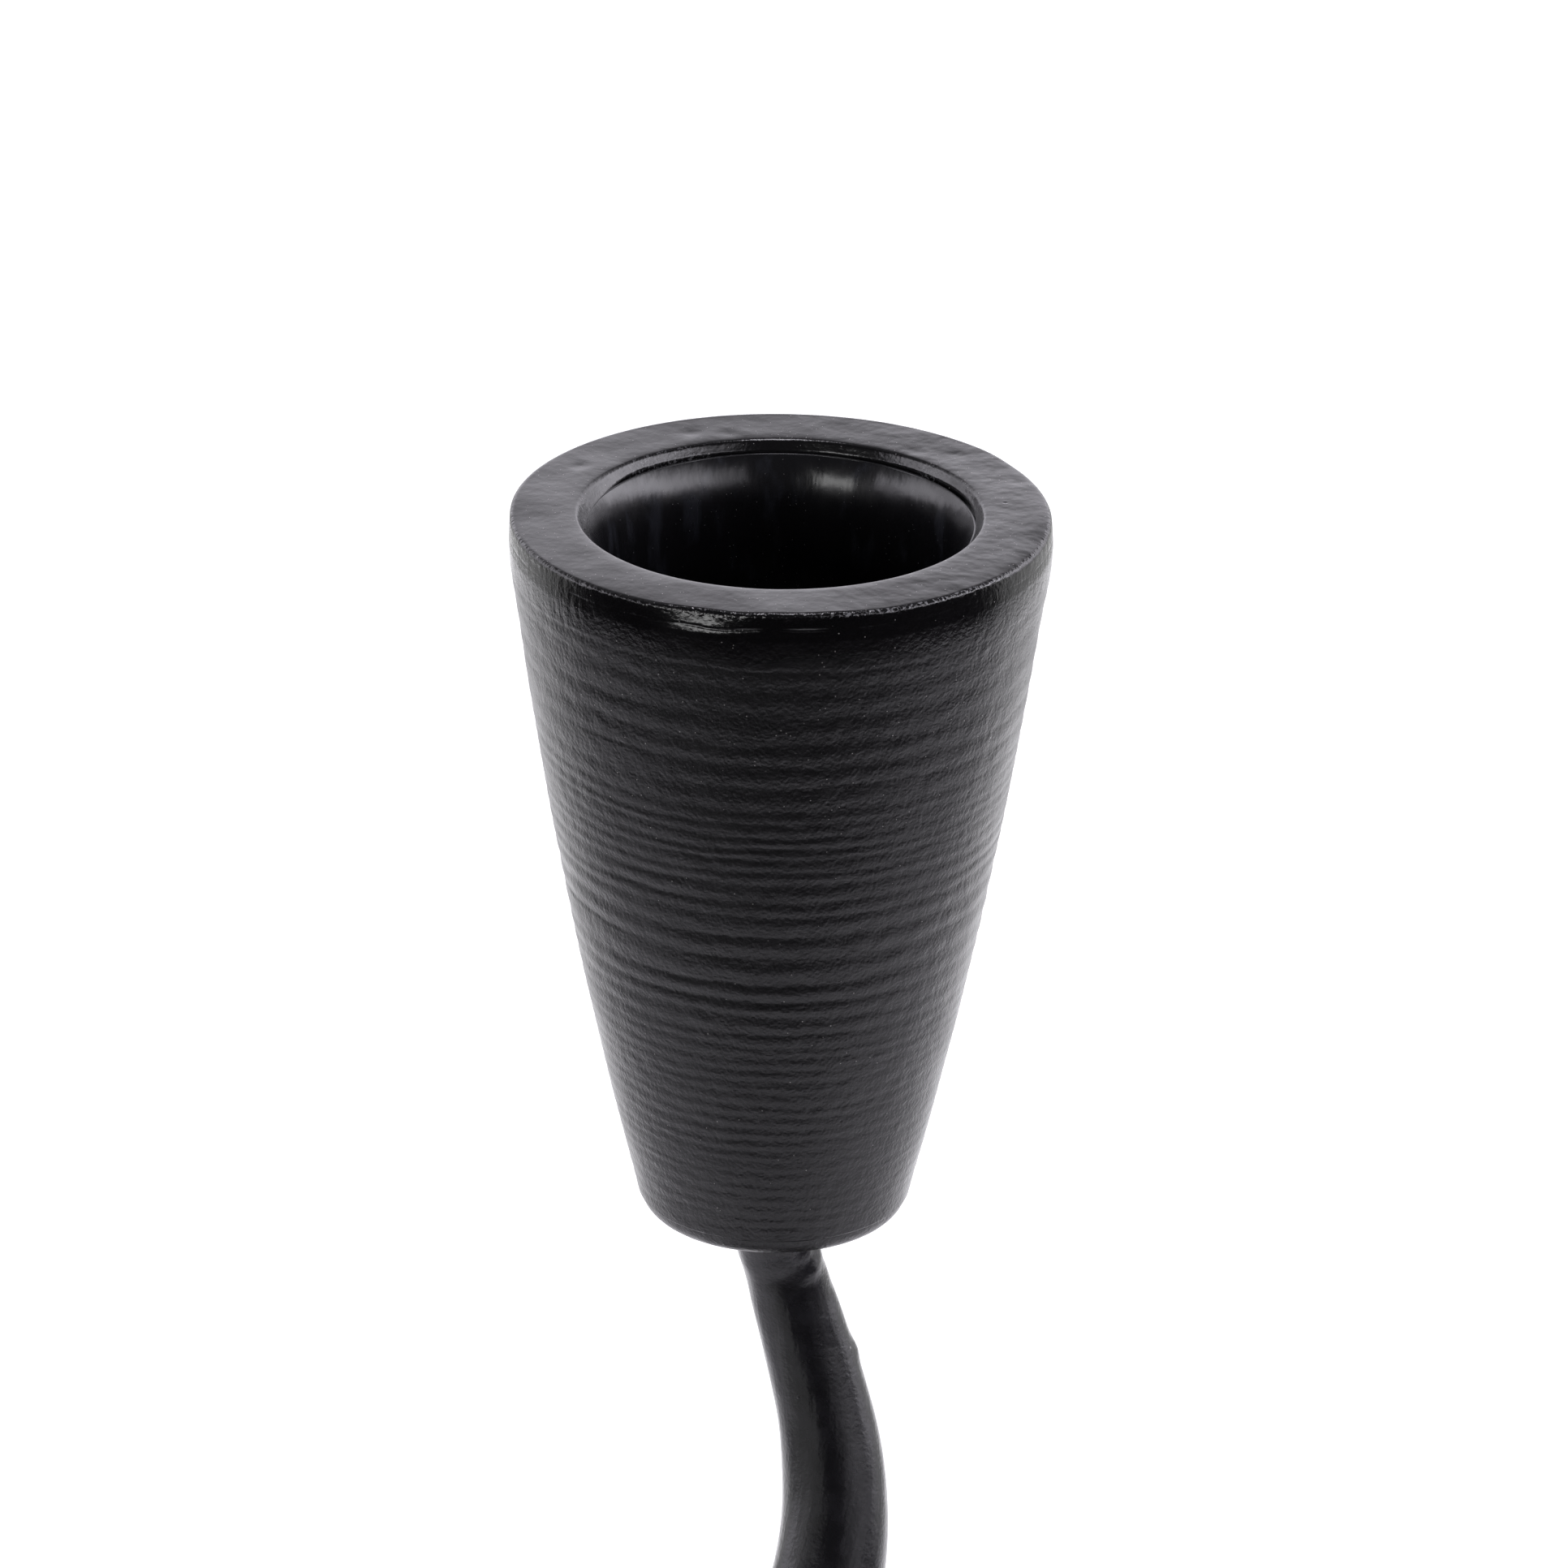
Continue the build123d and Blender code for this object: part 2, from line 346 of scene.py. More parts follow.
# %% Softbox
softbox_towards = Vector((-0.55, -0.83, 0.16)).normalized()
softbox_distance = 1.2
softbox_width, softbox_depth = 0.5, 0.4
softbox_power = 3.3

softbox_place = rim_centre + softbox_distance * softbox_towards
softbox = area_light(
    "softbox", softbox_towards, softbox_place, softbox_width, softbox_depth, softbox_power
)
print(f"softbox of {softbox_power} W at {[round(c, 2) for c in softbox_place]}")

# %% [markdown]
# A curved scrim hangs round the front, between the height of the stem and that of the rim. The stem mirrors
# the two side panels through it, and so much darker than the socket does, which looks over it. Only
# reflections meet the scrim: it is a grey veil that stands in for shade in what the stem mirrors.

# %% Scrim
scrim_radius, scrim_foot, scrim_top = 0.10, 0.104, 0.14
scrim_start, scrim_end = math.radians(-180), math.radians(4)
scrim_steps = 48
scrim_pass = 0.2

# A grey veil seen only in reflections: painted shade on what the stem mirrors.
shade_veil = bpy.data.materials.new("shade_veil")
tree = empty_tree(shade_veil)
veil = add_node(tree, "BsdfTransparent", {"Color": (scrim_pass, scrim_pass, scrim_pass, 1)})
add_node(tree, "OutputMaterial", {"Surface": veil.outputs[0]})

bm = bmesh.new()
ends = [bm.verts.new(on_ring(scrim_start, scrim_radius, height)) for height in (scrim_foot, scrim_top)]
upright = bm.edges.new(ends)
bmesh.ops.spin(
    bm, geom=[upright] + ends, axis=(0, 0, 1), cent=(0, 0, 0),
    angle=scrim_end - scrim_start, steps=scrim_steps,
)
scrim = new_object("scrim", bm, shade_veil)
scrim.visible_camera = False
scrim.visible_diffuse = False
scrim.visible_shadow = False
print("scrim:", len(scrim.data.polygons), "panes")

# %% [markdown]
# ## Shared finishes
# The cup and the stem are rough castings under black satin paint. Three things show in the paint wherever
# it is: a soft orange peel, a finer grain of the sand mould under it, and a few pits where a bubble broke.
# One node group gives their height in millimetres, and each material sets its own sizes.

# %% Group: cast grain
def new_group(name, inputs, outputs):
    """An empty shader node group with named float and vector sockets."""
    group = bpy.data.node_groups.new(name, "ShaderNodeTree")
    for socket, kind, value in inputs:
        made = group.interface.new_socket(socket, in_out="INPUT", socket_type=kind)
        if value is not None:
            made.default_value = value
    for socket, kind in outputs:
        group.interface.new_socket(socket, in_out="OUTPUT", socket_type=kind)
    return group, group.nodes.new("NodeGroupInput"), group.nodes.new("NodeGroupOutput")


FLOAT, VECTOR = "NodeSocketFloat", "NodeSocketVector"


def centred_noise(tree, coordinates, scale, detail=2.0, stretch=None):
    """Noise about zero, from -0.5 to 0.5. A stretch below 1 draws it out along an axis."""
    if stretch:
        coordinates = add_node(tree, "Mapping", {"Vector": coordinates, "Scale": stretch}).outputs["Vector"]
    sockets = {"Vector": coordinates, "Scale": scale, "Detail": detail}
    pattern = add_node(tree, "TexNoise", sockets)
    return math_node(tree, "SUBTRACT", pattern.outputs["Fac"], 0.5)


cast_grain, group_in, group_out = new_group(
    "cast_grain",
    (
        ("Coordinates", VECTOR, None),
        ("Peel Scale", FLOAT, 1200.0),
        ("Peel Height", FLOAT, 0.01),
        ("Grain Scale", FLOAT, 4500.0),
        ("Grain Height", FLOAT, 0.003),
        ("Pit Scale", FLOAT, 420.0),
        ("Pit Share", FLOAT, 0.1),
        ("Pit Depth", FLOAT, 0.03),
    ),
    (("Height", FLOAT), ("Pits", FLOAT)),
)
given = group_in.outputs
peel = centred_noise(cast_grain, given["Coordinates"], given["Peel Scale"], 1.0)
grain = centred_noise(cast_grain, given["Coordinates"], given["Grain Scale"], 2.0)
cells = add_node(
    cast_grain, "TexVoronoi", {"Vector": given["Coordinates"], "Scale": given["Pit Scale"]}, feature="F1"
)
pit_radius_share = 0.09
hollow = smooth_range(cast_grain, cells.outputs["Distance"], 0.0, pit_radius_share, 1.0, 0.0)
chance = add_node(cast_grain, "SeparateColor", {0: cells.outputs["Color"]}).outputs["Red"]
chosen = math_node(cast_grain, "LESS_THAN", chance, given["Pit Share"])
pits = math_node(cast_grain, "MULTIPLY", hollow, chosen)
height = math_node(cast_grain, "MULTIPLY", peel, given["Peel Height"])
height = math_node(cast_grain, "MULTIPLY_ADD", grain, given["Grain Height"], height)
sunk = math_node(cast_grain, "MULTIPLY", pits, given["Pit Depth"])
height = math_node(cast_grain, "SUBTRACT", height, sunk)
cast_grain.links.new(height, group_out.inputs["Height"])
cast_grain.links.new(pits, group_out.inputs["Pits"])
print("group cast_grain:", len(cast_grain.nodes), "nodes")

# %% [markdown]
# Fine dust lies on what faces up: in the photograph it sparkles on the front of the rim. A second group
# makes a mask of tiny specks, which the materials use to lighten the paint.

# %% Group: settled dust
settled_dust, group_in, group_out = new_group(
    "settled_dust",
    (
        ("Coordinates", VECTOR, None),
        ("Facing", VECTOR, None),
        ("Speck Scale", FLOAT, 1100.0),
        ("Speck Share", FLOAT, 0.2),
        ("Least Share", FLOAT, 0.1),
    ),
    (("Mask", FLOAT),),
)
given = group_in.outputs
cells = add_node(
    settled_dust, "TexVoronoi", {"Vector": given["Coordinates"], "Scale": given["Speck Scale"]}, feature="F1"
)
speck_fade, upward_fade = (0.02, 0.13), (0.2, 0.9)
speck = smooth_range(settled_dust, cells.outputs["Distance"], *speck_fade, 1.0, 0.0)
chance = add_node(settled_dust, "SeparateColor", {0: cells.outputs["Color"]}).outputs["Green"]
upward = add_node(settled_dust, "SeparateXYZ", {0: given["Facing"]}).outputs["Z"]
settled = smooth_range(settled_dust, upward, *upward_fade, given["Least Share"], 1.0)
likely = math_node(settled_dust, "MULTIPLY", given["Speck Share"], settled)
chosen = math_node(settled_dust, "LESS_THAN", chance, likely)
settled_dust.links.new(math_node(settled_dust, "MULTIPLY", speck, chosen), group_out.inputs["Mask"])
print("group settled_dust:", len(settled_dust.nodes), "nodes")

# %% [markdown]
# ## Cup paint
# Satin black over the casting. The shared grain is strong on the cone and weak on the rim, and every other
# mark has its own place: upright file marks on the band under the rim, ripples on the rim's top, beads of
# paint along its edge and a cluster of burst bubbles on the front. Painted glints, crumbs of lighter colour
# that stand in for highlights, go on the crease at the front right and on the back of the lip. So the
# material starts with masks, made from the height, the distance to the axis and the way a face points. Relief
# is given in millimetres.

# %% Helpers for materials
MILLIMETRE = 0.001


def new_material(name):
    """A material with its Principled shader and output linked, and the place that its patterns read."""
    material = bpy.data.materials.new(name)
    tree = empty_tree(material)
    shader = add_node(tree, "BsdfPrincipled")
    add_node(tree, "OutputMaterial", {"Surface": shader.outputs["BSDF"]})
    return material, tree, shader, add_node(tree, "TexCoord").outputs["Object"]


def set_bump(tree, shader, height):
    """Feeds a height in millimetres to the shader as relief."""
    bump = add_node(tree, "Bump", {"Height": height, "Strength": 1.0, "Distance": MILLIMETRE})
    tree.links.new(bump.outputs["Normal"], shader.inputs["Normal"])


print("material helpers ready")

# %% Cup paint: masks
mouth_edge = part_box("socket_liner")[1].x
top_fade = (0.85, 0.98)
outside_fade = (mouth_edge + 0.0020, mouth_edge + 0.0028)
rim_fade = (rim_height - 0.0045, rim_height - 0.0020)
patch_scale = 180.0

cup_paint, tree, shader, coordinates = new_material("cup_paint")
facing = add_node(tree, "NewGeometry").outputs["Normal"]
place = add_node(tree, "SeparateXYZ", {0: coordinates})
sideways, backwards, up = (place.outputs[axis] for axis in "XYZ")
facing_up = add_node(tree, "SeparateXYZ", {0: facing}).outputs["Z"]
off_top = smooth_range(tree, facing_up, *top_fade, 1.0, 0.0)
flat_place = add_node(tree, "VectorMath", {0: coordinates, 1: (1, 1, 0)}, operation="MULTIPLY").outputs[0]
from_axis = add_node(tree, "VectorMath", {0: flat_place}, operation="LENGTH").outputs["Value"]
outside = smooth_range(tree, from_axis, *outside_fade)
on_side = product(tree, off_top, outside)
patches = centred_noise(tree, coordinates, patch_scale, 1.0)
print("cup_paint: masks for the side, the top and the lip")

# %% Cup paint: grain and file marks
rim_grain_share = 0.35
peel_height, grain_height = 0.07, 0.05
file_scale, file_stretch = 2000.0, (1, 1, 0.35)
file_band, file_least = (rim_height - 0.0075, rim_height - 0.0035), 0.1
file_front, file_depths = (0.009, 0.015), (0.012, 0.08)
file_patches, file_patch_least = (-0.12, 0.12), 0.4

cast_share = smooth_range(tree, up, *rim_fade, 1.0, rim_grain_share)
cast_share = product(tree, cast_share, smooth_range(tree, off_top, 0.0, 1.0, rim_grain_share, 1.0))
grain = add_node(tree, "Group", {
    "Coordinates": coordinates,
    "Peel Scale": 900.0, "Peel Height": product(tree, cast_share, peel_height),
    "Grain Scale": 4200.0, "Grain Height": product(tree, cast_share, grain_height),
    "Pit Scale": 420.0, "Pit Share": 0.06, "Pit Depth": 0.05,
}, node_tree=cast_grain)
filed = centred_noise(tree, coordinates, file_scale, 3.0, file_stretch)
file_depth = product(
    tree,
    smooth_range(tree, patches, *file_patches, file_patch_least, 1.0),
    on_side,
    smooth_range(tree, math_node(tree, "ABSOLUTE", sideways), *file_front, *file_depths),
    smooth_range(tree, up, *file_band, file_least, 1.0),
)
height = math_node(tree, "MULTIPLY_ADD", filed, file_depth, grain.outputs["Height"])
print("cup_paint: grain on the cone, file marks on the band")

# %% Cup paint: ripples, beads and burst bubbles
ripple_scale, ripple_height = 560.0, 0.10
ripple_reach = (rim_height - 0.0010, rim_height - 0.0004)
ripple_fade, ripple_least = (-0.004, 0.014), 0.5
bead_scale, bead_heights, bead_inside_share = 2600.0, (0.02, 0.10), 0.15
bead_reach = (rim_height - 0.0008, rim_height - 0.0003)
bubble_scale, bubble_fade, bubble_depth = 1300.0, (0.05, 0.3), 0.05
cluster_place, cluster_fade = (0.0043, -0.0140, rim_height - 0.0133), (0.0012, 0.0026)

ripples = centred_noise(tree, coordinates, ripple_scale, 2.0)
on_rim = smooth_range(tree, up, *ripple_reach, 0.0, ripple_height)
rippled = smooth_range(tree, sideways, *ripple_fade, ripple_least, 1.0)
height = math_node(tree, "MULTIPLY_ADD", ripples, product(tree, on_rim, rippled), height)
beads = centred_noise(tree, coordinates, bead_scale, 2.0)
near_edge = smooth_range(tree, up, *bead_reach, *bead_heights)
beaded = product(tree, off_top, smooth_range(tree, outside, 0.0, 1.0, bead_inside_share, 1.0))
height = math_node(tree, "MULTIPLY_ADD", beads, product(tree, near_edge, beaded), height)
bubbles = add_node(tree, "TexVoronoi", {"Vector": coordinates, "Scale": bubble_scale}, feature="F1")
burst = smooth_range(tree, bubbles.outputs["Distance"], *bubble_fade, 1.0, 0.0)
from_cluster = distance_to(tree, coordinates, cluster_place)
clustered = smooth_range(tree, from_cluster, *cluster_fade, bubble_depth, 0.0)
height = math_node(tree, "SUBTRACT", height, product(tree, burst, clustered))
set_bump(tree, shader, height)
print("cup_paint: relief of ripples, beads and bubbles")

# %% Cup paint: sheen and colour
paint_colour, paint_ior = (0.0040, 0.0038, 0.0043, 1), 1.5
dust_colour = (0.34, 0.33, 0.32, 1)
# Lighter colour for painted glints: crumbs that stand in for highlights on the crease and the back of the
# lip.
glint_colour = (0.22, 0.22, 0.23, 1)
cone_roughness, rim_roughness, roughness_spread = 0.33, 0.19, 0.16
mottle_scale = 260.0
dust_reach, dust_shares = (rim_height - 0.020, rim_height - 0.006), (0.12, 0.5)
glint_breakup_scale, glint_breakup_fade = 5200.0, (0.03, 0.12)
crease_fade = (rim_height - 0.00048, rim_height - 0.00040)
glint_start, glint_end = (0.001, 0.006), (0.0132, 0.0146)
back_fade, back_share, back_patches = (0.004, 0.009), 0.3, (0.02, 0.14)

mottle = centred_noise(tree, coordinates, mottle_scale, 3.0)
dullness = smooth_range(tree, up, *rim_fade, cone_roughness, rim_roughness)
sheen = math_node(tree, "MULTIPLY_ADD", mottle, roughness_spread, dullness)
dust = add_node(tree, "Group", {
    "Coordinates": coordinates, "Facing": facing, "Speck Scale": 2300.0, "Speck Share": 0.8,
    "Least Share": smooth_range(tree, up, *dust_reach, *dust_shares),
}, node_tree=settled_dust)
# Painted glints: lighter crumbs on the crease at the front right and on the back of the lip, standing in for
# highlights.
glint_breakup = smooth_range(tree, centred_noise(tree, coordinates, glint_breakup_scale, 2.0), *glint_breakup_fade)
front_glints = product(
    tree,
    smooth_range(tree, up, *crease_fade),
    smooth_range(tree, sideways, *glint_start),
    smooth_range(tree, sideways, *glint_end, 1.0, 0.0),
    on_side,
)
back_glints = product(
    tree,
    off_top,
    smooth_range(tree, backwards, *back_fade, 0.0, back_share),
    math_node(tree, "SUBTRACT", 1.0, outside),
    smooth_range(tree, patches, *back_patches),
)
glinting = product(tree, math_node(tree, "MAXIMUM", front_glints, back_glints), glint_breakup)
glinting_paint = mix_colours(tree, glinting, paint_colour, glint_colour)
dusty_paint = mix_colours(tree, dust.outputs["Mask"], glinting_paint, dust_colour)
set_inputs(tree, shader, {"Roughness": sheen, "Base Color": dusty_paint, "IOR": paint_ior})
print("material cup_paint:", len(tree.nodes), "nodes")

# %% [markdown]
# ## Cup: profile
# The cup is round, so it starts as half of its section: a few corner points joined by edges, from the hole
# for the spigot round the outside, over the rim and down into the pocket for the liner. At the mouth the rim
# ends in a low lip that leans inwards as it goes down. It stops short of the liner's edge, which lies deeper,
# and leaves the narrow dark groove that the photograph shows there. Bevelling a corner point of such a wire
# rounds it. The flared side is one edge, divided finely and then bent to its curve.

# %% Cup dimensions
cup_bottom = cup_low.z
cup_height = rim_height - cup_bottom
liner_low, liner_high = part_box("socket_liner")
flange_top, flange_radius = liner_high.z, liner_high.x
washer_low, washer_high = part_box("clamp_washer")
floor_height = washer_low.z
bore_radius = frame["record"]["mounts"][0]["dims"]["r_mm"] * MILLIMETRE

weld, touch, near = 1e-7, 1e-6, 1e-5
liner_wall = 0.0006
lip_gap = 0.00015
rim_land = 0.00455
rim_band = 0.002
cup_wall = 0.0023
cup_base_radius = 0.00845
pocket_gap = 0.00015
liner_floor_gap = 0.0005
washer_room = 0.002
spigot_gap = 0.0002
spigot_radius = 0.002

flare, flare_height, flare_power = 0.0011, 0.0045, 3
flare_drop = 0.00028
edge_drop, edge_thickness, edge_width = 0.00098, 0.00036, 0.00022
lip_lean, lip_drop = 0.0003, 0.00058

flare_top = flange_top - flare_drop
edge_top = rim_height - edge_drop
ledge_height = edge_top - edge_thickness
pocket_floor = liner_low.z - liner_floor_gap
pocket_radius = bore_radius + liner_wall + pocket_gap
mouth_radius = flange_radius + lip_gap
rim_radius = mouth_radius + rim_land
spigot_hole_radius = spigot_radius + spigot_gap
well_radius = washer_high.x + washer_room


def limited(share):
    """Keeps a share between 0 and 1."""
    return min(max(share, 0.0), 1.0)


def socket_radius(height):
    """Inside radius of the liner: a straight bore that flares towards its upper edge."""
    risen = limited((height - flare_top) / flare_height + 1)
    return bore_radius + flare * risen**flare_power


edge_radius = socket_radius(edge_top)
lip_radius = edge_radius + edge_width + lip_gap


def cup_radius(height):
    """Outside radius of the cone, on a parabola through its base, its wall at the liner and the band."""
    middle = pocket_floor - cup_bottom
    top = cup_height - rim_band
    wall_radius = pocket_radius + cup_wall
    base_share = (height - middle) * (height - top) / (middle * top)
    wall_share = height * (top - height) / (middle * (top - middle))
    rim_share = height * (height - middle) / (top * (top - middle))
    return cup_base_radius * base_share + wall_radius * wall_share + rim_radius * rim_share


print(f"cup {cup_height:.4f} m tall, rim {2 * rim_radius:.4f} m across")

# %% Cup section
cup_base_round = 0.0014
rim_round = 0.0003
mouth_round, lip_foot_round = 0.00015, 0.00006
pocket_chamfer = 0.00035
side_cuts, band_cuts, land_cuts, lip_cuts = 330, 34, 18, 6


def section_wire(bm, corners, closed=True):
    """Joins corner points (radius, height) by edges in the plane y = 0."""
    points = [bm.verts.new((radius, 0, height)) for radius, height in corners]
    ends = points[1:] + points[:1] if closed else points[1:]
    for first, second in zip(points, ends):
        bm.edges.new((first, second))


def round_corners(bm, rounds):
    """Rounds corners of a wire, each given by its place in the section, a size and its segments."""
    for (radius, height), size, segments in rounds:
        place = Vector((radius, 0, height))
        corner = min(bm.verts, key=lambda point: (point.co - place).length)
        bmesh.ops.bevel(
            bm, geom=[corner], offset=size, offset_type="OFFSET", segments=segments,
            profile=0.5, affect="VERTICES", material=-1,
        )


def divide_edge(bm, low_place, high_place, cuts):
    """Divides the edge of a wire that spans two places, found by its middle, and returns the new points."""
    middle = (Vector(low_place) + Vector(high_place)) / 2
    centre = Vector((middle.x, 0, middle.y))
    edge = min(bm.edges, key=lambda edge: ((edge.verts[0].co + edge.verts[1].co) / 2 - centre).length)
    return points_of(bmesh.ops.subdivide_edges(bm, edges=[edge], cuts=cuts)["geom_inner"])


base = (cup_base_radius, cup_bottom)
band_foot = (rim_radius, rim_height - rim_band)
rim_edge = (rim_radius, rim_height)
lip_top = (lip_radius + lip_lean, rim_height)
lip_foot = (lip_radius, rim_height - lip_drop)
pocket_edge = (pocket_radius, ledge_height)

cup = bmesh.new()
section_wire(cup, (
    (spigot_hole_radius, cup_bottom), base, band_foot, rim_edge, lip_top, lip_foot,
    (lip_radius, ledge_height), pocket_edge, (pocket_radius, pocket_floor),
    (well_radius, pocket_floor), (well_radius, floor_height), (spigot_hole_radius, floor_height),
))
round_corners(cup, (
    (base, cup_base_round, 8),
    (rim_edge, rim_round, 8),
    (lip_top, mouth_round, 5),
    (lip_foot, lip_foot_round, 3),
    (pocket_edge, pocket_chamfer, 1),
))
for point in divide_edge(cup, base, band_foot, side_cuts):
    point.co.x = cup_radius(point.co.z - cup_bottom)
divide_edge(cup, band_foot, (rim_radius, rim_height - rim_round), band_cuts)
divide_edge(cup, (lip_top[0] + mouth_round, rim_height), (rim_radius - rim_round, rim_height), land_cuts)
divide_edge(cup, lip_foot, lip_top, lip_cuts)
print("cup section:", len(cup.verts), "points")

# %% [markdown]
# A full spin of that section about the axis makes the body. After that the surface is roughened by moving
# points. Turned rings run down the side, fainter towards its top, its bottom and both flanks. The cone bulges
# a little under the rim, the rim is crowned, dented and leans back, and a wandering line is cut under it by
# hand. The ring grooves were measured on the photograph, as heights above the cup's bottom in millimetres.

# %% Spin the cup
cup_steps = 208


def spun(bm, steps):
    """Spins everything in a bmesh once round the vertical axis, into a closed body."""
    bmesh.ops.spin(
        bm, geom=bm.verts[:] + bm.edges[:], axis=(0, 0, 1), cent=(0, 0, 0),
        angle=2 * math.pi, steps=steps, use_merge=True,
    )
    bmesh.ops.remove_doubles(bm, verts=bm.verts, dist=weld)
    bmesh.ops.recalc_face_normals(bm, faces=bm.faces)


spun(cup, cup_steps)
print("cup body:", len(cup.faces), "faces")

# %% Rings
groove_heights = [height * MILLIMETRE for height in (
    2.28, 3.33, 4.28, 5.08, 6.04, 6.85, 7.71, 8.57, 9.48, 10.49, 11.35, 12.26, 13.12,
    13.98, 14.89, 15.80, 16.66, 17.57, 19.04, 20.15, 21.70, 23.50, 25.35, 26.84, 27.64, 29.09,
    29.94, 30.84, 31.69, 32.64, 33.54, 34.44, 35.99, 37.74, 39.38, 41.38, 43.33, 44.73,
)]
ring_depth_share = 0.042
ring_wander, wander_length = 0.0002, 0.006
slow_pace, quick_pace, quick_share = 1.5, 5, 0.5
ring_tilt = 0.012
strength_spread, strength_pace, strength_step = 0.9, 1.7, 7.3
worn_share, worn_from, worn_fade = 0.5, 0.030, 0.010
faint_share, faint_below, faint_fade = 0.28, 0.022, 0.008
right_faint_share, right_faint_end = 0.7, 0.6
left_faint_share, left_faint_start = 1.5, 0.75


def ring_relief(angle, height):
    """Depth of the surface under the crest of its ring."""
    around = Vector((math.cos(angle), math.sin(angle), height / wander_length))
    wander = noise.noise(around * slow_pace) + quick_share * noise.noise(around * quick_pace)
    place = height + ring_wander * wander
    place += ring_tilt * cup_radius(height) * around.x
    above = bisect.bisect(groove_heights, place)
    if above == 0 or above == len(groove_heights):
        return 0.0
    lower, upper = groove_heights[above - 1], groove_heights[above]
    share = (place - lower) / (upper - lower)
    ring_place = Vector((around.x, around.y, strength_step * above))
    strength = 1 + strength_spread * noise.noise(ring_place * strength_pace)
    wave = 0.5 + 0.5 * math.cos(2 * math.pi * share)
    worn = 1 - worn_share * limited((height - worn_from) / worn_fade)
    worn -= faint_share * limited((faint_below - height) / faint_fade)
    worn *= 1 - right_faint_share * min(max(around.x, 0.0), right_faint_end)
    worn *= 1 - left_faint_share * max(-around.x - left_faint_start, 0.0)
    return strength * worn * ring_depth_share * (upper - lower) * wave


print(len(groove_heights), "grooves")

# %% Bulge, notch and dents
fairing_width, slope_probe = 0.0024, 0.001
top_slope = (rim_radius - cup_radius(cup_height - rim_band - slope_probe)) / slope_probe
right_bulge, left_bulge = 0.00017, 0.00008
bulge_drop, bulge_width = 0.0032, 0.0026
notch_drop, notch_width, notch_depth = 0.0012, 0.00009, 0.00011
notch_cut, notch_least = (255, 276, 10), 0.15
notch_wander, wander_over, wander_seed = 0.00018, 0.003, 6
notch_break, break_over, break_seed = 0.4, 0.0012, 5
dents = ((112.8, 0.0149), (104.0, 0.0141), (42.3, 0.0152), (51.6, 0.0139), (20.0, 0.0161), (150.0, 0.0150))
dent_size, dent_depth = 0.00055, 0.00007


def uneven(place, length, seed):
    """Soft noise at a point, from -1 to 1, over a given length."""
    return noise.noise(place / length + Vector((seed, 2 * seed, 3 * seed)))


def between(degrees, start, end, fade):
    """1 between two angles, easing to 0 outside them."""
    share = limited(min(degrees - start, end - degrees) / fade + 1)
    return share * share * (3 - 2 * share)


def fairing(drop):
    """How far the corner between the band and the cone is pulled in to make it soft."""
    below_band = drop - rim_band
    if abs(below_band) >= fairing_width:
        return 0.0
    return top_slope * ((below_band + fairing_width) ** 2 / (4 * fairing_width) - max(below_band, 0.0))


def bulge(angle, drop):
    """How far the side swells under the rim, to the right and to the left."""
    sideways = math.cos(angle)
    swell = (right_bulge if sideways > 0 else left_bulge) * sideways**2
    return swell * math.exp(-(((drop - bulge_drop) / bulge_width) ** 2))


def notch(place, angle, drop):
    """Depth of the broken line that was cut by hand under the rim."""
    off_line = drop - notch_drop + notch_wander * uneven(place, wander_over, wander_seed)
    line = math.exp(-((off_line / notch_width) ** 2))
    cut = notch_least + (1 - notch_least) * between(math.degrees(angle) % 360, *notch_cut)
    return notch_depth * line * cut * max(notch_break + uneven(place, break_over, break_seed), 0.0)


def dent(place):
    """Depth of the small dents on top of the rim."""
    depth = 0.0
    for degrees, radius in dents:
        away = (place.to_2d() - on_ring(math.radians(degrees), radius).to_2d()).length
        depth += dent_depth * math.exp(-((away / dent_size) ** 2))
    return depth


print(len(dents), "dents, notch", notch_drop, "m under the rim")

# %% Move the cup's surface
side_uneven, side_over, side_seed = 0.00005, 0.005, 1
band_lean = 0.0001
foot_fade = 0.0012
rim_crown, edge_crown, crown_power = 0.00012, 0.00002, 4
crown_reach, lip_reach = 0.00035, lip_drop + 1.5 * lip_foot_round
back_lean, back_lean_power = 0.035, 1.5
rim_uneven, rim_over, rim_seed = 0.00008, 0.003, 3

for point in cup.verts:
    radius, angle = polar(point.co)
    height = point.co.z - cup_bottom
    drop = cup_height - height
    on_cone = cup_base_round < height < cup_height - rim_band and radius > cup_radius(height) - near
    on_band = height >= cup_height - rim_band and radius > rim_radius - rim_round - near
    if on_cone or on_band:
        moved = side_uneven * (0.5 + 0.5 * uneven(point.co, side_over, side_seed)) + fairing(drop)
        moved -= bulge(angle, drop)
        if on_cone:
            moved += ring_relief(angle, height)
        else:
            moved += band_lean * (height - cup_height + rim_band) / rim_band
        moved += notch(point.co, angle, drop)
        moved *= min((height - cup_base_round) / foot_fade, 1.0)
        point.co.x -= moved * math.cos(angle)
        point.co.y -= moved * math.sin(angle)
    reach = lip_reach if radius < lip_radius + lip_lean else crown_reach
    if point.co.z > rim_height - reach and radius > lip_radius - touch:
        across = max(radius - mouth_radius, 0.0) / (rim_radius - rim_round - mouth_radius)
        point.co.z -= (rim_crown if across < 0.5 else edge_crown) * (2 * across - 1) ** crown_power
        point.co.z -= back_lean * (rim_radius - radius) * max(math.sin(angle), 0.0) ** back_lean_power
        hollow = rim_uneven * across * (1 - across) * 2
        point.co.z -= hollow * (1 + uneven(point.co, rim_over, rim_seed)) + dent(point.co)
print("rings, notch, dents and rim moved")

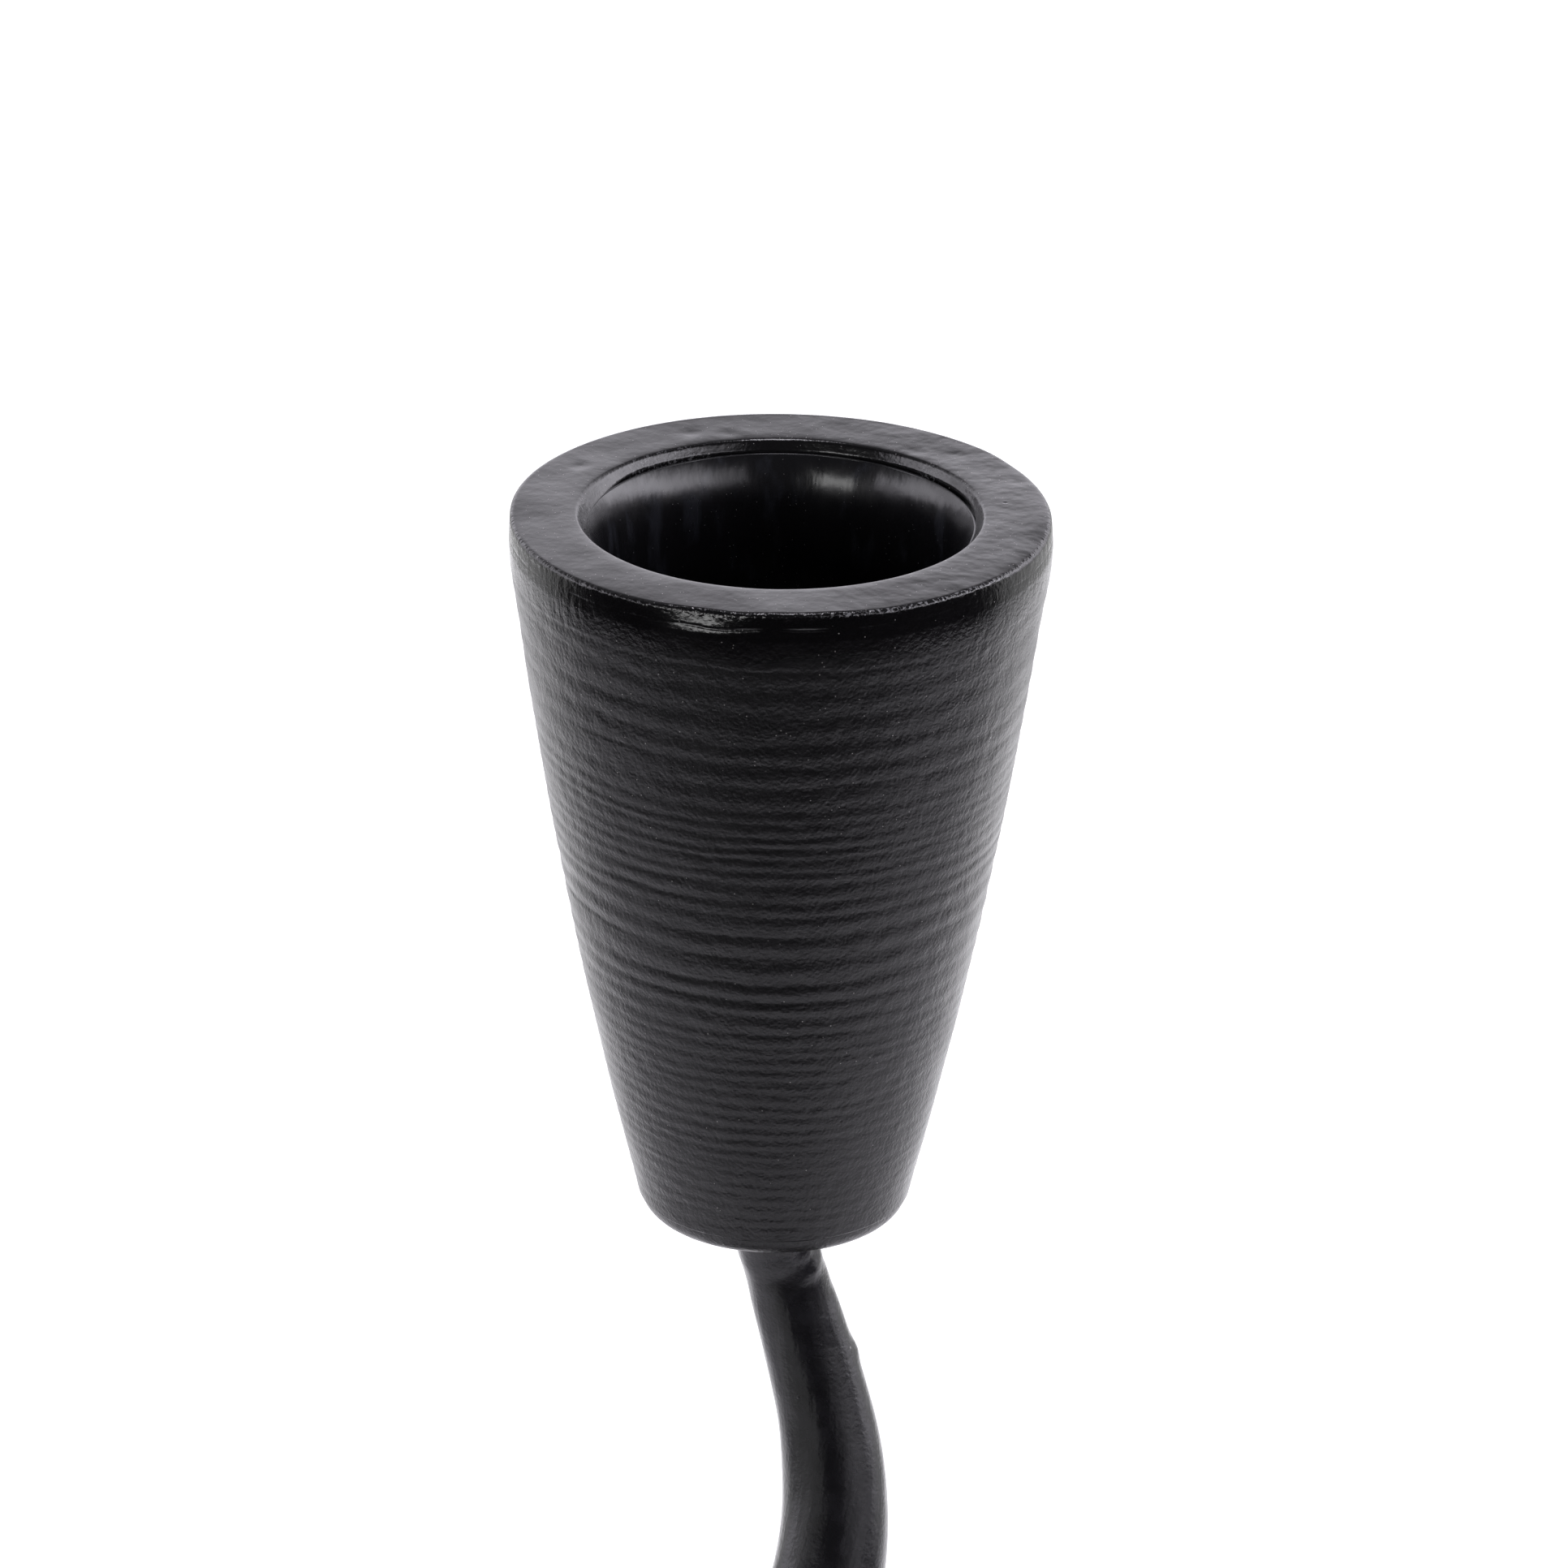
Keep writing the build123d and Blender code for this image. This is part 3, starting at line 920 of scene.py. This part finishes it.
# %% [markdown]
# In front the rim droops towards its edge on both sides of the middle, and at the right end the edge is
# rolled off. Just left of the middle the band under that edge is filed to a slant, which catches the softbox.
# All three are shares that fade along the rim.

# %% Drooping edge and filed slant
droops = ((188, 258, 0.0002), (292, 345, 0.00024), (262, 288, 0.00007))
droop_fade, droop_power = 16, 2
rolled_part, roll_depth, roll_power = (152, 208, 12), 0.00022, 12
slant_angle, slant_half_width, slant_depth = 253.5, 7.5, 0.00034
slant_reach, slant_power = 0.0016, 4


def push_out(point, distance):
    """Moves a point away from the axis, or towards it by a negative distance."""
    grown = 1 + distance / polar(point.co)[0]
    point.co.x *= grown
    point.co.y *= grown


for point in cup.verts:
    radius, angle = polar(point.co)
    drop = rim_height - point.co.z
    if drop < rim_band and radius > mouth_radius + crown_reach:
        degrees = math.degrees(angle) % 360
        across = (radius - mouth_radius) / rim_land
        kept = max(1 - drop / rim_band, 0.0)
        sunk = max(depth * between(degrees, start, end, droop_fade) for start, end, depth in droops)
        rolled = roll_depth * between((degrees + 180) % 360, *rolled_part)
        point.co.z -= (sunk * min(across, 1.0) ** droop_power + rolled * across**roll_power) * kept
        slant = slant_depth * math.exp(-(((degrees - slant_angle) / slant_half_width) ** 2))
        push_out(point, -slant * max(1 - drop / slant_reach, 0.0) * across**slant_power)
print(len(droops), "droops of the edge, slant at", slant_angle, "degrees")

# %% [markdown]
# On the left, and less on the right, paint has run over the seam between cup and liner, so that the rim flows
# into the socket without a break. There the foot of the lip is drawn in and down, onto the liner's edge.

# %% Close the seam
left_run = (164, 200, 30)
right_run, right_run_share = (158, 164, 44), 0.85
run_overlap, run_sink = 0.00002, 0.00007
run_inward = lip_radius - edge_radius + run_overlap
run_down = edge_drop - lip_drop - rim_crown + run_sink

for point in cup.verts:
    radius, angle = polar(point.co)
    if radius < lip_radius + lip_lean and point.co.z > ledge_height + touch:
        degrees = math.degrees(angle)
        share = max(between(degrees % 360, *left_run), right_run_share * between(degrees + 180, *right_run))
        drawn = share * limited((rim_height - rim_crown - point.co.z) / lip_drop)
        push_out(point, -run_inward * drawn)
        point.co.z -= run_down * drawn
print("seam closed from", left_run[0], "to", left_run[1], "degrees")

# %% Finish the cup
sharp_angle = math.radians(24)


def finished(name, bm, material, node):
    """Turns a bmesh into an object that takes the place of one CAD node."""
    for edge in bm.edges:
        edge.smooth = edge.calc_face_angle(0.0) < sharp_angle
    for face in bm.faces:
        face.smooth = True
    piece = new_object(name, bm, material)
    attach(piece, "root")
    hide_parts(node)
    triangles = sum(len(polygon.vertices) - 2 for polygon in piece.data.polygons)
    print(f"{name}: {triangles} triangles")
    return piece


cup_piece = finished("painted_cup", cup, cup_paint, "candle_cup")

# %% [markdown]
# ## Liner
# A drawn liner sits in the cup and holds the candle: a flare that ends in a thin edge under the rim, a
# straight bore and a round-cornered floor. Its enamel is much glossier than the paint, with faint runs down
# the bore, smudges and a little dust.

# %% Material: liner enamel
enamel_colour, smudge_colour = (0.005, 0.005, 0.006, 1), (0.015, 0.016, 0.020, 1)
dull_dust_colour = (0.09, 0.09, 0.09, 1)
enamel_roughness, enamel_spread, enamel_ior = 0.24, 0.16, 1.52
run_scale, run_stretch, run_height = 700.0, (1, 1, 0.15), 0.06
mottle_scale, mottle_stretch = 500.0, (1, 1, 0.2)
smear_scale, smear_stretch, smear_fade = 800.0, (1, 1, 0.3), (0.02, 0.2)

liner_enamel, tree, shader, coordinates = new_material("liner_enamel")
facing = add_node(tree, "NewGeometry").outputs["Normal"]
grain = add_node(tree, "Group", {
    "Coordinates": coordinates, "Peel Scale": 420.0, "Peel Height": 0.06,
    "Grain Scale": 3500.0, "Grain Height": 0.003, "Pit Scale": 500.0, "Pit Share": 0.03, "Pit Depth": 0.012,
}, node_tree=cast_grain)
dust = add_node(tree, "Group", {
    "Coordinates": coordinates, "Facing": facing,
    "Speck Scale": 2600.0, "Speck Share": 0.6, "Least Share": 0.9,
}, node_tree=settled_dust)
runs = centred_noise(tree, coordinates, run_scale, 3.0, run_stretch)
set_bump(tree, shader, math_node(tree, "MULTIPLY_ADD", runs, run_height, grain.outputs["Height"]))
mottle = centred_noise(tree, coordinates, mottle_scale, 3.0, mottle_stretch)
sheen = math_node(tree, "MULTIPLY_ADD", mottle, enamel_spread, enamel_roughness)
smears = centred_noise(tree, coordinates, smear_scale, 4.0, smear_stretch)
smudged = mix_colours(tree, smooth_range(tree, smears, *smear_fade), enamel_colour, smudge_colour)
dusty_enamel = mix_colours(tree, dust.outputs["Mask"], smudged, dull_dust_colour)
set_inputs(tree, shader, {"Roughness": sheen, "Base Color": dusty_enamel, "IOR": enamel_ior})
print("material liner_enamel:", len(tree.nodes), "nodes")

# %% Liner body
liner_corner = 0.0015
flange_edge, lip_round = 0.0001, 0.00008
flare_cuts, bore_cuts = 40, 24
liner_steps = 160

socket_floor = liner_low.z + liner_wall
liner_radius = bore_radius + liner_wall
socket_corner = (bore_radius, socket_floor)
flare_foot = (bore_radius, flare_top - flare_height)
edge_inside = (edge_radius, edge_top)
edge_outside = (edge_radius + edge_width, edge_top)
liner_foot = (liner_radius, liner_low.z)

liner = bmesh.new()
section_wire(liner, (
    (0, socket_floor), socket_corner, flare_foot, edge_inside, edge_outside,
    (edge_radius + edge_width, ledge_height), (edge_radius, ledge_height),
    (liner_radius, ledge_height - liner_wall), liner_foot, (0, liner_low.z),
), closed=False)
for point in divide_edge(liner, flare_foot, edge_inside, flare_cuts):
    point.co.x = socket_radius(point.co.z)
round_corners(liner, (
    (socket_corner, liner_corner, 8),
    (edge_inside, lip_round, 4),
    (edge_outside, flange_edge, 4),
    (liner_foot, liner_corner + liner_wall, 8),
))
divide_edge(liner, (bore_radius, socket_floor + liner_corner), flare_foot, bore_cuts)
spun(liner, liner_steps)
print("liner body:", len(liner.faces), "faces")

# %% [markdown]
# Sheet that is drawn into a cup is never quite even. From the corner of the floor up to the edge the wall is
# widened a little by noise, so that the highlights in the socket waver as they do in the photograph.

# %% Uneven wall
wall_uneven, wall_over, wall_seed = 0.00004, 0.004, 9

for point in liner.verts:
    radius = polar(point.co)[0]
    if point.co.z > socket_floor + liner_corner and bore_radius - touch < radius < edge_radius:
        push_out(point, wall_uneven * (1 + uneven(point.co, wall_over, wall_seed)))
liner_piece = finished("enamelled_liner", liner, liner_enamel, "socket_liner")

# %% [markdown]
# The photograph shows no trace of the softbox on the stem: a flag in front of the lamp kept its light on the
# cup. Light linking does the same here, with a collection of the pieces that the lamp reaches.

# %% Flag the softbox
light_only(softbox, cup_piece, liner_piece)

# %% [markdown]
# ## Stem
# The stem is one casting: a spigot that passes up through the cup's floor, a short neck, the spiral and the
# ring foot. It is drawn as a tube. A ring of points is extruded along the spiral, station by station, and
# each new ring is moved to its place and size by one matrix. The formulas are those of the CAD source.

# %% Stem dimensions
stem_low, stem_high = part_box("spiral_stem")
neck_diameter, foot_diameter = 0.0048, 0.0105
foot_flat_depth = 0.0005
collar_margin = 0.0006
collar_radius = spigot_hole_radius + collar_margin
spigot_chamfer = 0.0004
neck_drop = 0.0016
pad_thickness = stem_low.z
foot_height = pad_thickness + foot_diameter / 2 - foot_flat_depth
foot_radius = stem_high.x - foot_diameter / 2
spiral_drop = cup_bottom - neck_drop - foot_height
start_angle, landing_angle, whole_turns, foot_angle = 34.2, -90.0, 1, 270.0
winding = start_angle - landing_angle + 360 * whole_turns
widening_power, drop_power, taper_power = 1.09, 1.2, 3.0
settling_share = 0.12
probe_share = 0.001


def eased(share):
    """A steady growth from 0 to 1 that settles to a stop over its last stretch."""
    if share <= 1 - settling_share:
        return share / (1 - settling_share / 2)
    return 1 - (1 - share) ** 2 / (settling_share * (2 - settling_share))


def spiral_angle(share):
    """Direction from the axis to the rod at a share of its winding."""
    return math.radians(start_angle - winding * share)


def spiral_point(share):
    """Centre of the rod at a share of its winding, from the neck to the landing."""
    radius = foot_radius * eased(share**widening_power)
    height = foot_height + spiral_drop * (1 - share) ** drop_power
    return on_ring(spiral_angle(share), radius, height)


def rod_radius(share):
    """Half the rod's thickness, which grows from the neck to the foot."""
    return (neck_diameter + (foot_diameter - neck_diameter) * (1 - (1 - share) ** taper_power)) / 2


print(f"foot ring {2 * (foot_radius + foot_diameter / 2):.4f} m across, {winding:.1f} degrees of spiral")

# %% Stem stations
spiral_stations = 420
collar_share = 0.030
collar_extra = collar_radius - neck_diameter / 2
collar_rings = ((0.0, 0.00008), (0.0006, 0.00003), (0.0012, 0.0))
shoulder_gap = 0.0001
quarter_turn = math.pi / 2


def station(centre, along, outward, radius):
    """Matrix that takes the unit circle to a ring of the rod."""
    along = along.normalized()
    outward = (outward - along * outward.dot(along)).normalized()
    sideways = along.cross(outward)
    turn = Matrix((outward, sideways, along)).transposed().to_4x4()
    return Matrix.Translation(centre) @ turn @ Matrix.Diagonal((radius, radius, radius, 1))


down = Vector((0, 0, -1))
first_outward = on_ring(spiral_angle(0))
spigot_top = stem_high.z
neck_rings = [
    (spigot_top, spigot_radius - spigot_chamfer),
    (spigot_top - spigot_chamfer, spigot_radius),
    (cup_bottom + shoulder_gap, spigot_radius),
    (cup_bottom, spigot_radius),
]
neck_rings += [(cup_bottom - depth, collar_radius - inset) for depth, inset in collar_rings]
stations = [
    station(Vector((0, 0, height)), down, first_outward, radius) for height, radius in neck_rings
]
for step in range(spiral_stations + 1):
    share = step / spiral_stations
    behind_share, ahead_share = max(share - probe_share, 0.0), min(share + probe_share, 1.0)
    along = spiral_point(ahead_share) - spiral_point(behind_share)
    if step == 0:
        along = down
    elif step == spiral_stations:
        along = on_ring(spiral_angle(1) - quarter_turn)
    outward = on_ring(spiral_angle(share))
    swell = max(1 - share / collar_share, 0.0) ** 2
    stations.append(station(spiral_point(share), along, outward, rod_radius(share) + collar_extra * swell))
print(len(stations), "stations from the spigot to the landing")

# %% [markdown]
# While the tube grows, every point also keeps its place on a rod that was never bent: two coordinates across
# and the length so far. A pattern that reads this attribute follows the rod round every bend.

# %% Draw the stem
ring_points = 56


def last_ring(made):
    """The points of an extrusion's new ring, and the edges between them."""
    points = points_of(made)
    among = set(points)
    return points, [edge for edge in edges_of(made) if among.issuperset(edge.verts)]


stem = bmesh.new()
unwound = stem.verts.layers.float_vector.new("unwound")
first_ring = bmesh.ops.create_circle(stem, cap_ends=False, radius=1, segments=ring_points)["verts"]
for point in first_ring:
    point[unwound] = point.co.copy()
bmesh.ops.transform(stem, matrix=stations[0], verts=first_ring)
ring_edges = stem.edges[:]
bmesh.ops.edgeloop_fill(stem, edges=ring_edges)

length = 0.0
last_place = stations[0]
for place in stations[1:]:
    made = bmesh.ops.extrude_edge_only(stem, edges=ring_edges)["geom"]
    ring, ring_edges = last_ring(made)
    bmesh.ops.transform(stem, matrix=place @ last_place.inverted(), verts=ring)
    length += (place.translation - last_place.translation).length
    size = place.col[0].length
    for point in ring:
        flat = point[unwound].to_2d().normalized() * size
        point[unwound] = Vector((flat.x, flat.y, length))
    last_place = place
print(f"spiral drawn, {length:.3f} m of rod")

# %% [markdown]
# The spiral lands along the ring, so the foot is a plain spin of its last circle about the axis, through
# three quarters of a turn. Then the free end closes as half a ball, with circles that shrink along a quarter
# arc.

# %% Foot ring and tail
foot_steps = 200
tail_segments, tail_tip = 12, 1e-6

before = set(stem.verts)
swept = bmesh.ops.spin(
    stem, geom=ring + ring_edges, axis=(0, 0, 1), cent=(0, 0, 0),
    angle=-math.radians(foot_angle), steps=foot_steps,
)["geom_last"]
for point in set(stem.verts) - before:
    turned = (math.radians(landing_angle) - polar(point.co)[1]) % (2 * math.pi)
    flat = point[unwound].to_2d()
    point[unwound] = Vector((flat.x, flat.y, length + turned * foot_radius))

tail_angle = math.radians(landing_angle - foot_angle)
tail_centre = on_ring(tail_angle, foot_radius, foot_height)
tail_along = on_ring(tail_angle - quarter_turn)
tail_outward = on_ring(tail_angle)
tail_start = length + math.radians(foot_angle) * foot_radius
ring_edges = edges_of(swept)
last_place = station(tail_centre, tail_along, tail_outward, foot_diameter / 2)
for step in range(1, tail_segments + 1):
    lean = step / tail_segments * quarter_turn
    reach = foot_diameter / 2 * math.sin(lean)
    size = max(foot_diameter / 2 * math.cos(lean), tail_tip)
    made = bmesh.ops.extrude_edge_only(stem, edges=ring_edges)["geom"]
    ring, ring_edges = last_ring(made)
    place = station(tail_centre + reach * tail_along, tail_along, tail_outward, size)
    bmesh.ops.transform(stem, matrix=place @ last_place.inverted(), verts=ring)
    for point in ring:
        flat = point[unwound].to_2d().normalized() * size
        point[unwound] = Vector((flat.x, flat.y, tail_start + reach))
    last_place = place
bmesh.ops.pointmerge(stem, verts=ring, merge_co=tail_centre + foot_diameter / 2 * tail_along)
bmesh.ops.recalc_face_normals(stem, faces=stem.faces)
print("stem body:", len(stem.faces), "faces")

# %% [markdown]
# A casting of this size is never quite true. The rod gets soft lumps, stronger near the neck where the mould
# was patched, and the small knobs that the photograph shows there and on the rod's right edge. The flat
# underside of the foot is cut after that, so it stays flat for the pads.

# %% Cast lumps and flat underside
lump_height, lump_sink, lump_length, lump_seed = 0.00006, 0.6, 0.004, 2
patch_height, patch_reach, patch_length, patch_seed = 0.00016, 0.007, 0.0016, 4
collar_fade = 0.0005
knobs = (
    (0.072, 0, 0.00015, 0.0007), (0.016, -15, 0.00026, 0.0011),
    (0.010, -45, 0.00022, 0.0006), (0.020, -42, 0.00022, 0.0006),
)
knob_places = []
for share, degrees, rise, size in knobs:
    side = on_ring(math.radians(degrees), rod_radius(share))
    knob_places.append((spiral_point(share) + side, rise, size))

stem.normal_update()
moves = []
for point in stem.verts:
    if point.co.z < cup_bottom - near:
        place = point[unwound]
        depth = (cup_bottom - point.co.z) / patch_reach
        patch = patch_height * math.exp(-depth * depth) * uneven(place, patch_length, patch_seed)
        knob = sum(
            rise * math.exp(-((point.co - centre).length / size) ** 2) for centre, rise, size in knob_places
        )
        clear_of_cup = min((cup_bottom - point.co.z) / collar_fade, 1.0)
        lump = lump_height * (uneven(place, lump_length, lump_seed) - lump_sink)
        moves.append((point, point.normal * (clear_of_cup * (lump + patch) + knob)))
for point, move in moves:
    point.co += move
cut = bmesh.ops.bisect_plane(
    stem, geom=stem.verts[:] + stem.edges[:] + stem.faces[:], dist=weld,
    plane_co=(0, 0, pad_thickness), plane_no=(0, 0, 1), clear_inner=True,
)["geom_cut"]
bmesh.ops.triangle_fill(stem, edges=edges_of(cut), use_beauty=True)
bmesh.ops.recalc_face_normals(stem, faces=stem.faces)
print("underside cut,", sum(not edge.is_manifold for edge in stem.edges), "open edges")

# %% [markdown]
# ## Stem paint
# The rod is painted with the same black, but it lies thicker and glossier there, in blotches of two tones.
# Both tones are set lighter than the cup's black: painted light that lifts the whole rod, so that its dark
# middle stripe is less black.
# Long streaks follow the rod, so they read the unwound place. Small blisters stand out all along it. They are
# the pits of the shared grain, turned outwards by a negative depth.

# %% Material: stem paint
# Both tones are lighter than the cup's paint: painted light on the rod. The blotches between them are random
# tone.
lit_thick_tone, lit_thin_tone = (0.0100, 0.0097, 0.0112, 1), (0.0170, 0.0165, 0.0190, 1)
stem_roughness, stem_spread = 0.25, 0.16
streak_scale, streak_stretch, streak_height = 1900.0, (1, 1, 0.03), 0.03
mottle_scale, mottle_stretch = 500.0, (1, 1, 0.15)
blotch_scale, blotch_fade = 700.0, (-0.12, 0.15)

stem_paint, tree, shader, coordinates = new_material("stem_paint")
facing = add_node(tree, "NewGeometry").outputs["Normal"]
along_rod = add_node(tree, "Attribute", attribute_name="unwound").outputs["Vector"]
grain = add_node(tree, "Group", {
    "Coordinates": coordinates, "Peel Scale": 700.0, "Peel Height": 0.035,
    "Grain Scale": 3600.0, "Grain Height": 0.025, "Pit Scale": 600.0, "Pit Share": 0.15, "Pit Depth": -0.04,
}, node_tree=cast_grain)
dust = add_node(tree, "Group", {
    "Coordinates": coordinates, "Facing": facing,
    "Speck Scale": 900.0, "Speck Share": 0.12, "Least Share": 0.3,
}, node_tree=settled_dust)
streaks = centred_noise(tree, along_rod, streak_scale, 2.0, streak_stretch)
set_bump(tree, shader, math_node(tree, "MULTIPLY_ADD", streaks, streak_height, grain.outputs["Height"]))
mottle = centred_noise(tree, along_rod, mottle_scale, 3.0, mottle_stretch)
sheen = math_node(tree, "MULTIPLY_ADD", mottle, stem_spread, stem_roughness)
blotches = smooth_range(tree, centred_noise(tree, coordinates, blotch_scale, 4.0), *blotch_fade)
blotched = mix_colours(tree, blotches, lit_thick_tone, lit_thin_tone)
dusty_paint = mix_colours(tree, dust.outputs["Mask"], blotched, dust_colour)
set_inputs(tree, shader, {"Roughness": sheen, "Base Color": dusty_paint, "IOR": paint_ior})
print("material stem_paint:", len(tree.nodes), "nodes")

# %% Finish the stem
stem_piece = finished("painted_stem", stem, stem_paint, "spiral_stem")

# %% [markdown]
# A weak fill light in front, to the left, gives the stem its broad grey flank with a clear edge down the
# middle. It stands inside the scrim and is flagged off everything else.

# %% Fill light on the stem
fill_angle, fill_reach = math.radians(-143.5), 0.085
fill_height = 0.099
fill_width, fill_tall = 0.126, 0.094
fill_power = 0.018

fill_place = on_ring(fill_angle, fill_reach, fill_height)
fill = area_light("fill", on_ring(fill_angle), fill_place, fill_width, fill_tall, fill_power)
light_only(fill, stem_piece)

# %% [markdown]
# ## Felt pads
# Three pads of pressed felt keep the foot off the table. Each outline is drawn by spinning one point four
# times: along the outer arc, round one end, back along the inner arc and round the other end.

# %% Material: felt
dark_felt, light_felt, felt_sheen = (0.018, 0.018, 0.019, 1), (0.055, 0.055, 0.058, 1), 0.3
fibre_scale, fibre_height, fibre_fade = 5200.0, 0.05, (-0.2, 0.25)
tuft_scale, tuft_height = 1400.0, 0.10

felt, tree, shader, coordinates = new_material("felt")
fibres = centred_noise(tree, coordinates, fibre_scale, 4.0)
tufts = centred_noise(tree, coordinates, tuft_scale, 2.0)
height = product(tree, fibres, fibre_height)
height = math_node(tree, "MULTIPLY_ADD", tufts, tuft_height, height)
set_bump(tree, shader, height)
flecks = smooth_range(tree, fibres, *fibre_fade)
flecked = mix_colours(tree, flecks, dark_felt, light_felt)
set_inputs(tree, shader, {"Base Color": flecked, "Roughness": 1.0, "Sheen Weight": felt_sheen})
print("material felt:", len(tree.nodes), "nodes")

# %% Pads
pad_count = 3
pad_angle = math.radians(26)
first_pad_angle = math.radians(-105)
pad_inset = 0.0003
flat_half_width = math.sqrt((foot_diameter / 2) ** 2 - (foot_diameter / 2 - foot_flat_depth) ** 2)
pad_half_width = flat_half_width - pad_inset
arc_steps, end_steps = 24, 10
pad_edge_round, pad_edge_angle = 0.00018, math.radians(60)


def spin_point(bm, point, centre, angle, steps):
    """Draws an arc from a point and returns the arc's last point."""
    made = bmesh.ops.spin(bm, geom=[point], axis=(0, 0, 1), cent=centre, angle=angle, steps=steps)
    return points_of(made["geom_last"])[0]


for number in range(pad_count):
    middle_angle = first_pad_angle - number * 2 * math.pi / pad_count
    start, end = middle_angle - pad_angle / 2, middle_angle + pad_angle / 2
    pad = bmesh.new()
    point = pad.verts.new(on_ring(start, foot_radius + pad_half_width))
    point = spin_point(pad, point, (0, 0, 0), pad_angle, arc_steps)
    point = spin_point(pad, point, on_ring(end, foot_radius), math.pi, end_steps)
    point = spin_point(pad, point, (0, 0, 0), -pad_angle, arc_steps)
    spin_point(pad, point, on_ring(start, foot_radius), math.pi, end_steps)
    bmesh.ops.remove_doubles(pad, verts=pad.verts, dist=touch)
    outline = bmesh.ops.contextual_create(pad, geom=pad.edges[:])["faces"]
    raised = bmesh.ops.extrude_face_region(pad, geom=outline)["geom"]
    bmesh.ops.translate(pad, vec=(0, 0, pad_thickness), verts=points_of(raised))
    bmesh.ops.recalc_face_normals(pad, faces=pad.faces)
    rims = [edge for edge in pad.edges if edge.calc_face_angle(0.0) > pad_edge_angle]
    bmesh.ops.bevel(
        pad, geom=rims, offset=pad_edge_round, offset_type="OFFSET", segments=3,
        profile=0.5, affect="EDGES", material=-1,
    )
    finished(f"felt_foot_{number + 1}", pad, felt, f"felt_pad_{number + 1}")

# %% [markdown]
# ## Washer and nut
# Inside the cup a zinc-plated washer and nut hold it on the stem. Their CAD shapes are right, so they stay
# and only get a finish: dull plated steel with a crystalline bloom.

# %% Material: zinc
dark_zinc, light_zinc = (0.52, 0.53, 0.54, 1), (0.68, 0.69, 0.70, 1)
zinc_roughness, zinc_spread = 0.3, 0.15
bloom_scale = 1600.0
scratch_scale, scratch_stretch, scratch_height = 2600.0, (1, 0.1, 1), 0.01

zinc, tree, shader, coordinates = new_material("zinc_steel")
bloom = add_node(tree, "TexVoronoi", {"Vector": coordinates, "Scale": bloom_scale}, feature="F1")
shade = add_node(tree, "SeparateColor", {0: bloom.outputs["Color"]}).outputs["Red"]
plated = mix_colours(tree, shade, dark_zinc, light_zinc)
scratches = centred_noise(tree, coordinates, scratch_scale, 2.0, scratch_stretch)
set_bump(tree, shader, product(tree, scratches, scratch_height))
sheen = math_node(tree, "MULTIPLY_ADD", shade, zinc_spread, zinc_roughness)
set_inputs(tree, shader, {"Base Color": plated, "Roughness": sheen, "Metallic": 1.0})
for name in ("clamp_washer", "clamp_nut"):
    node = frame["nodes"][name]
    node.data.materials.clear()
    node.data.materials.append(zinc)
print("zinc on the washer and the nut")
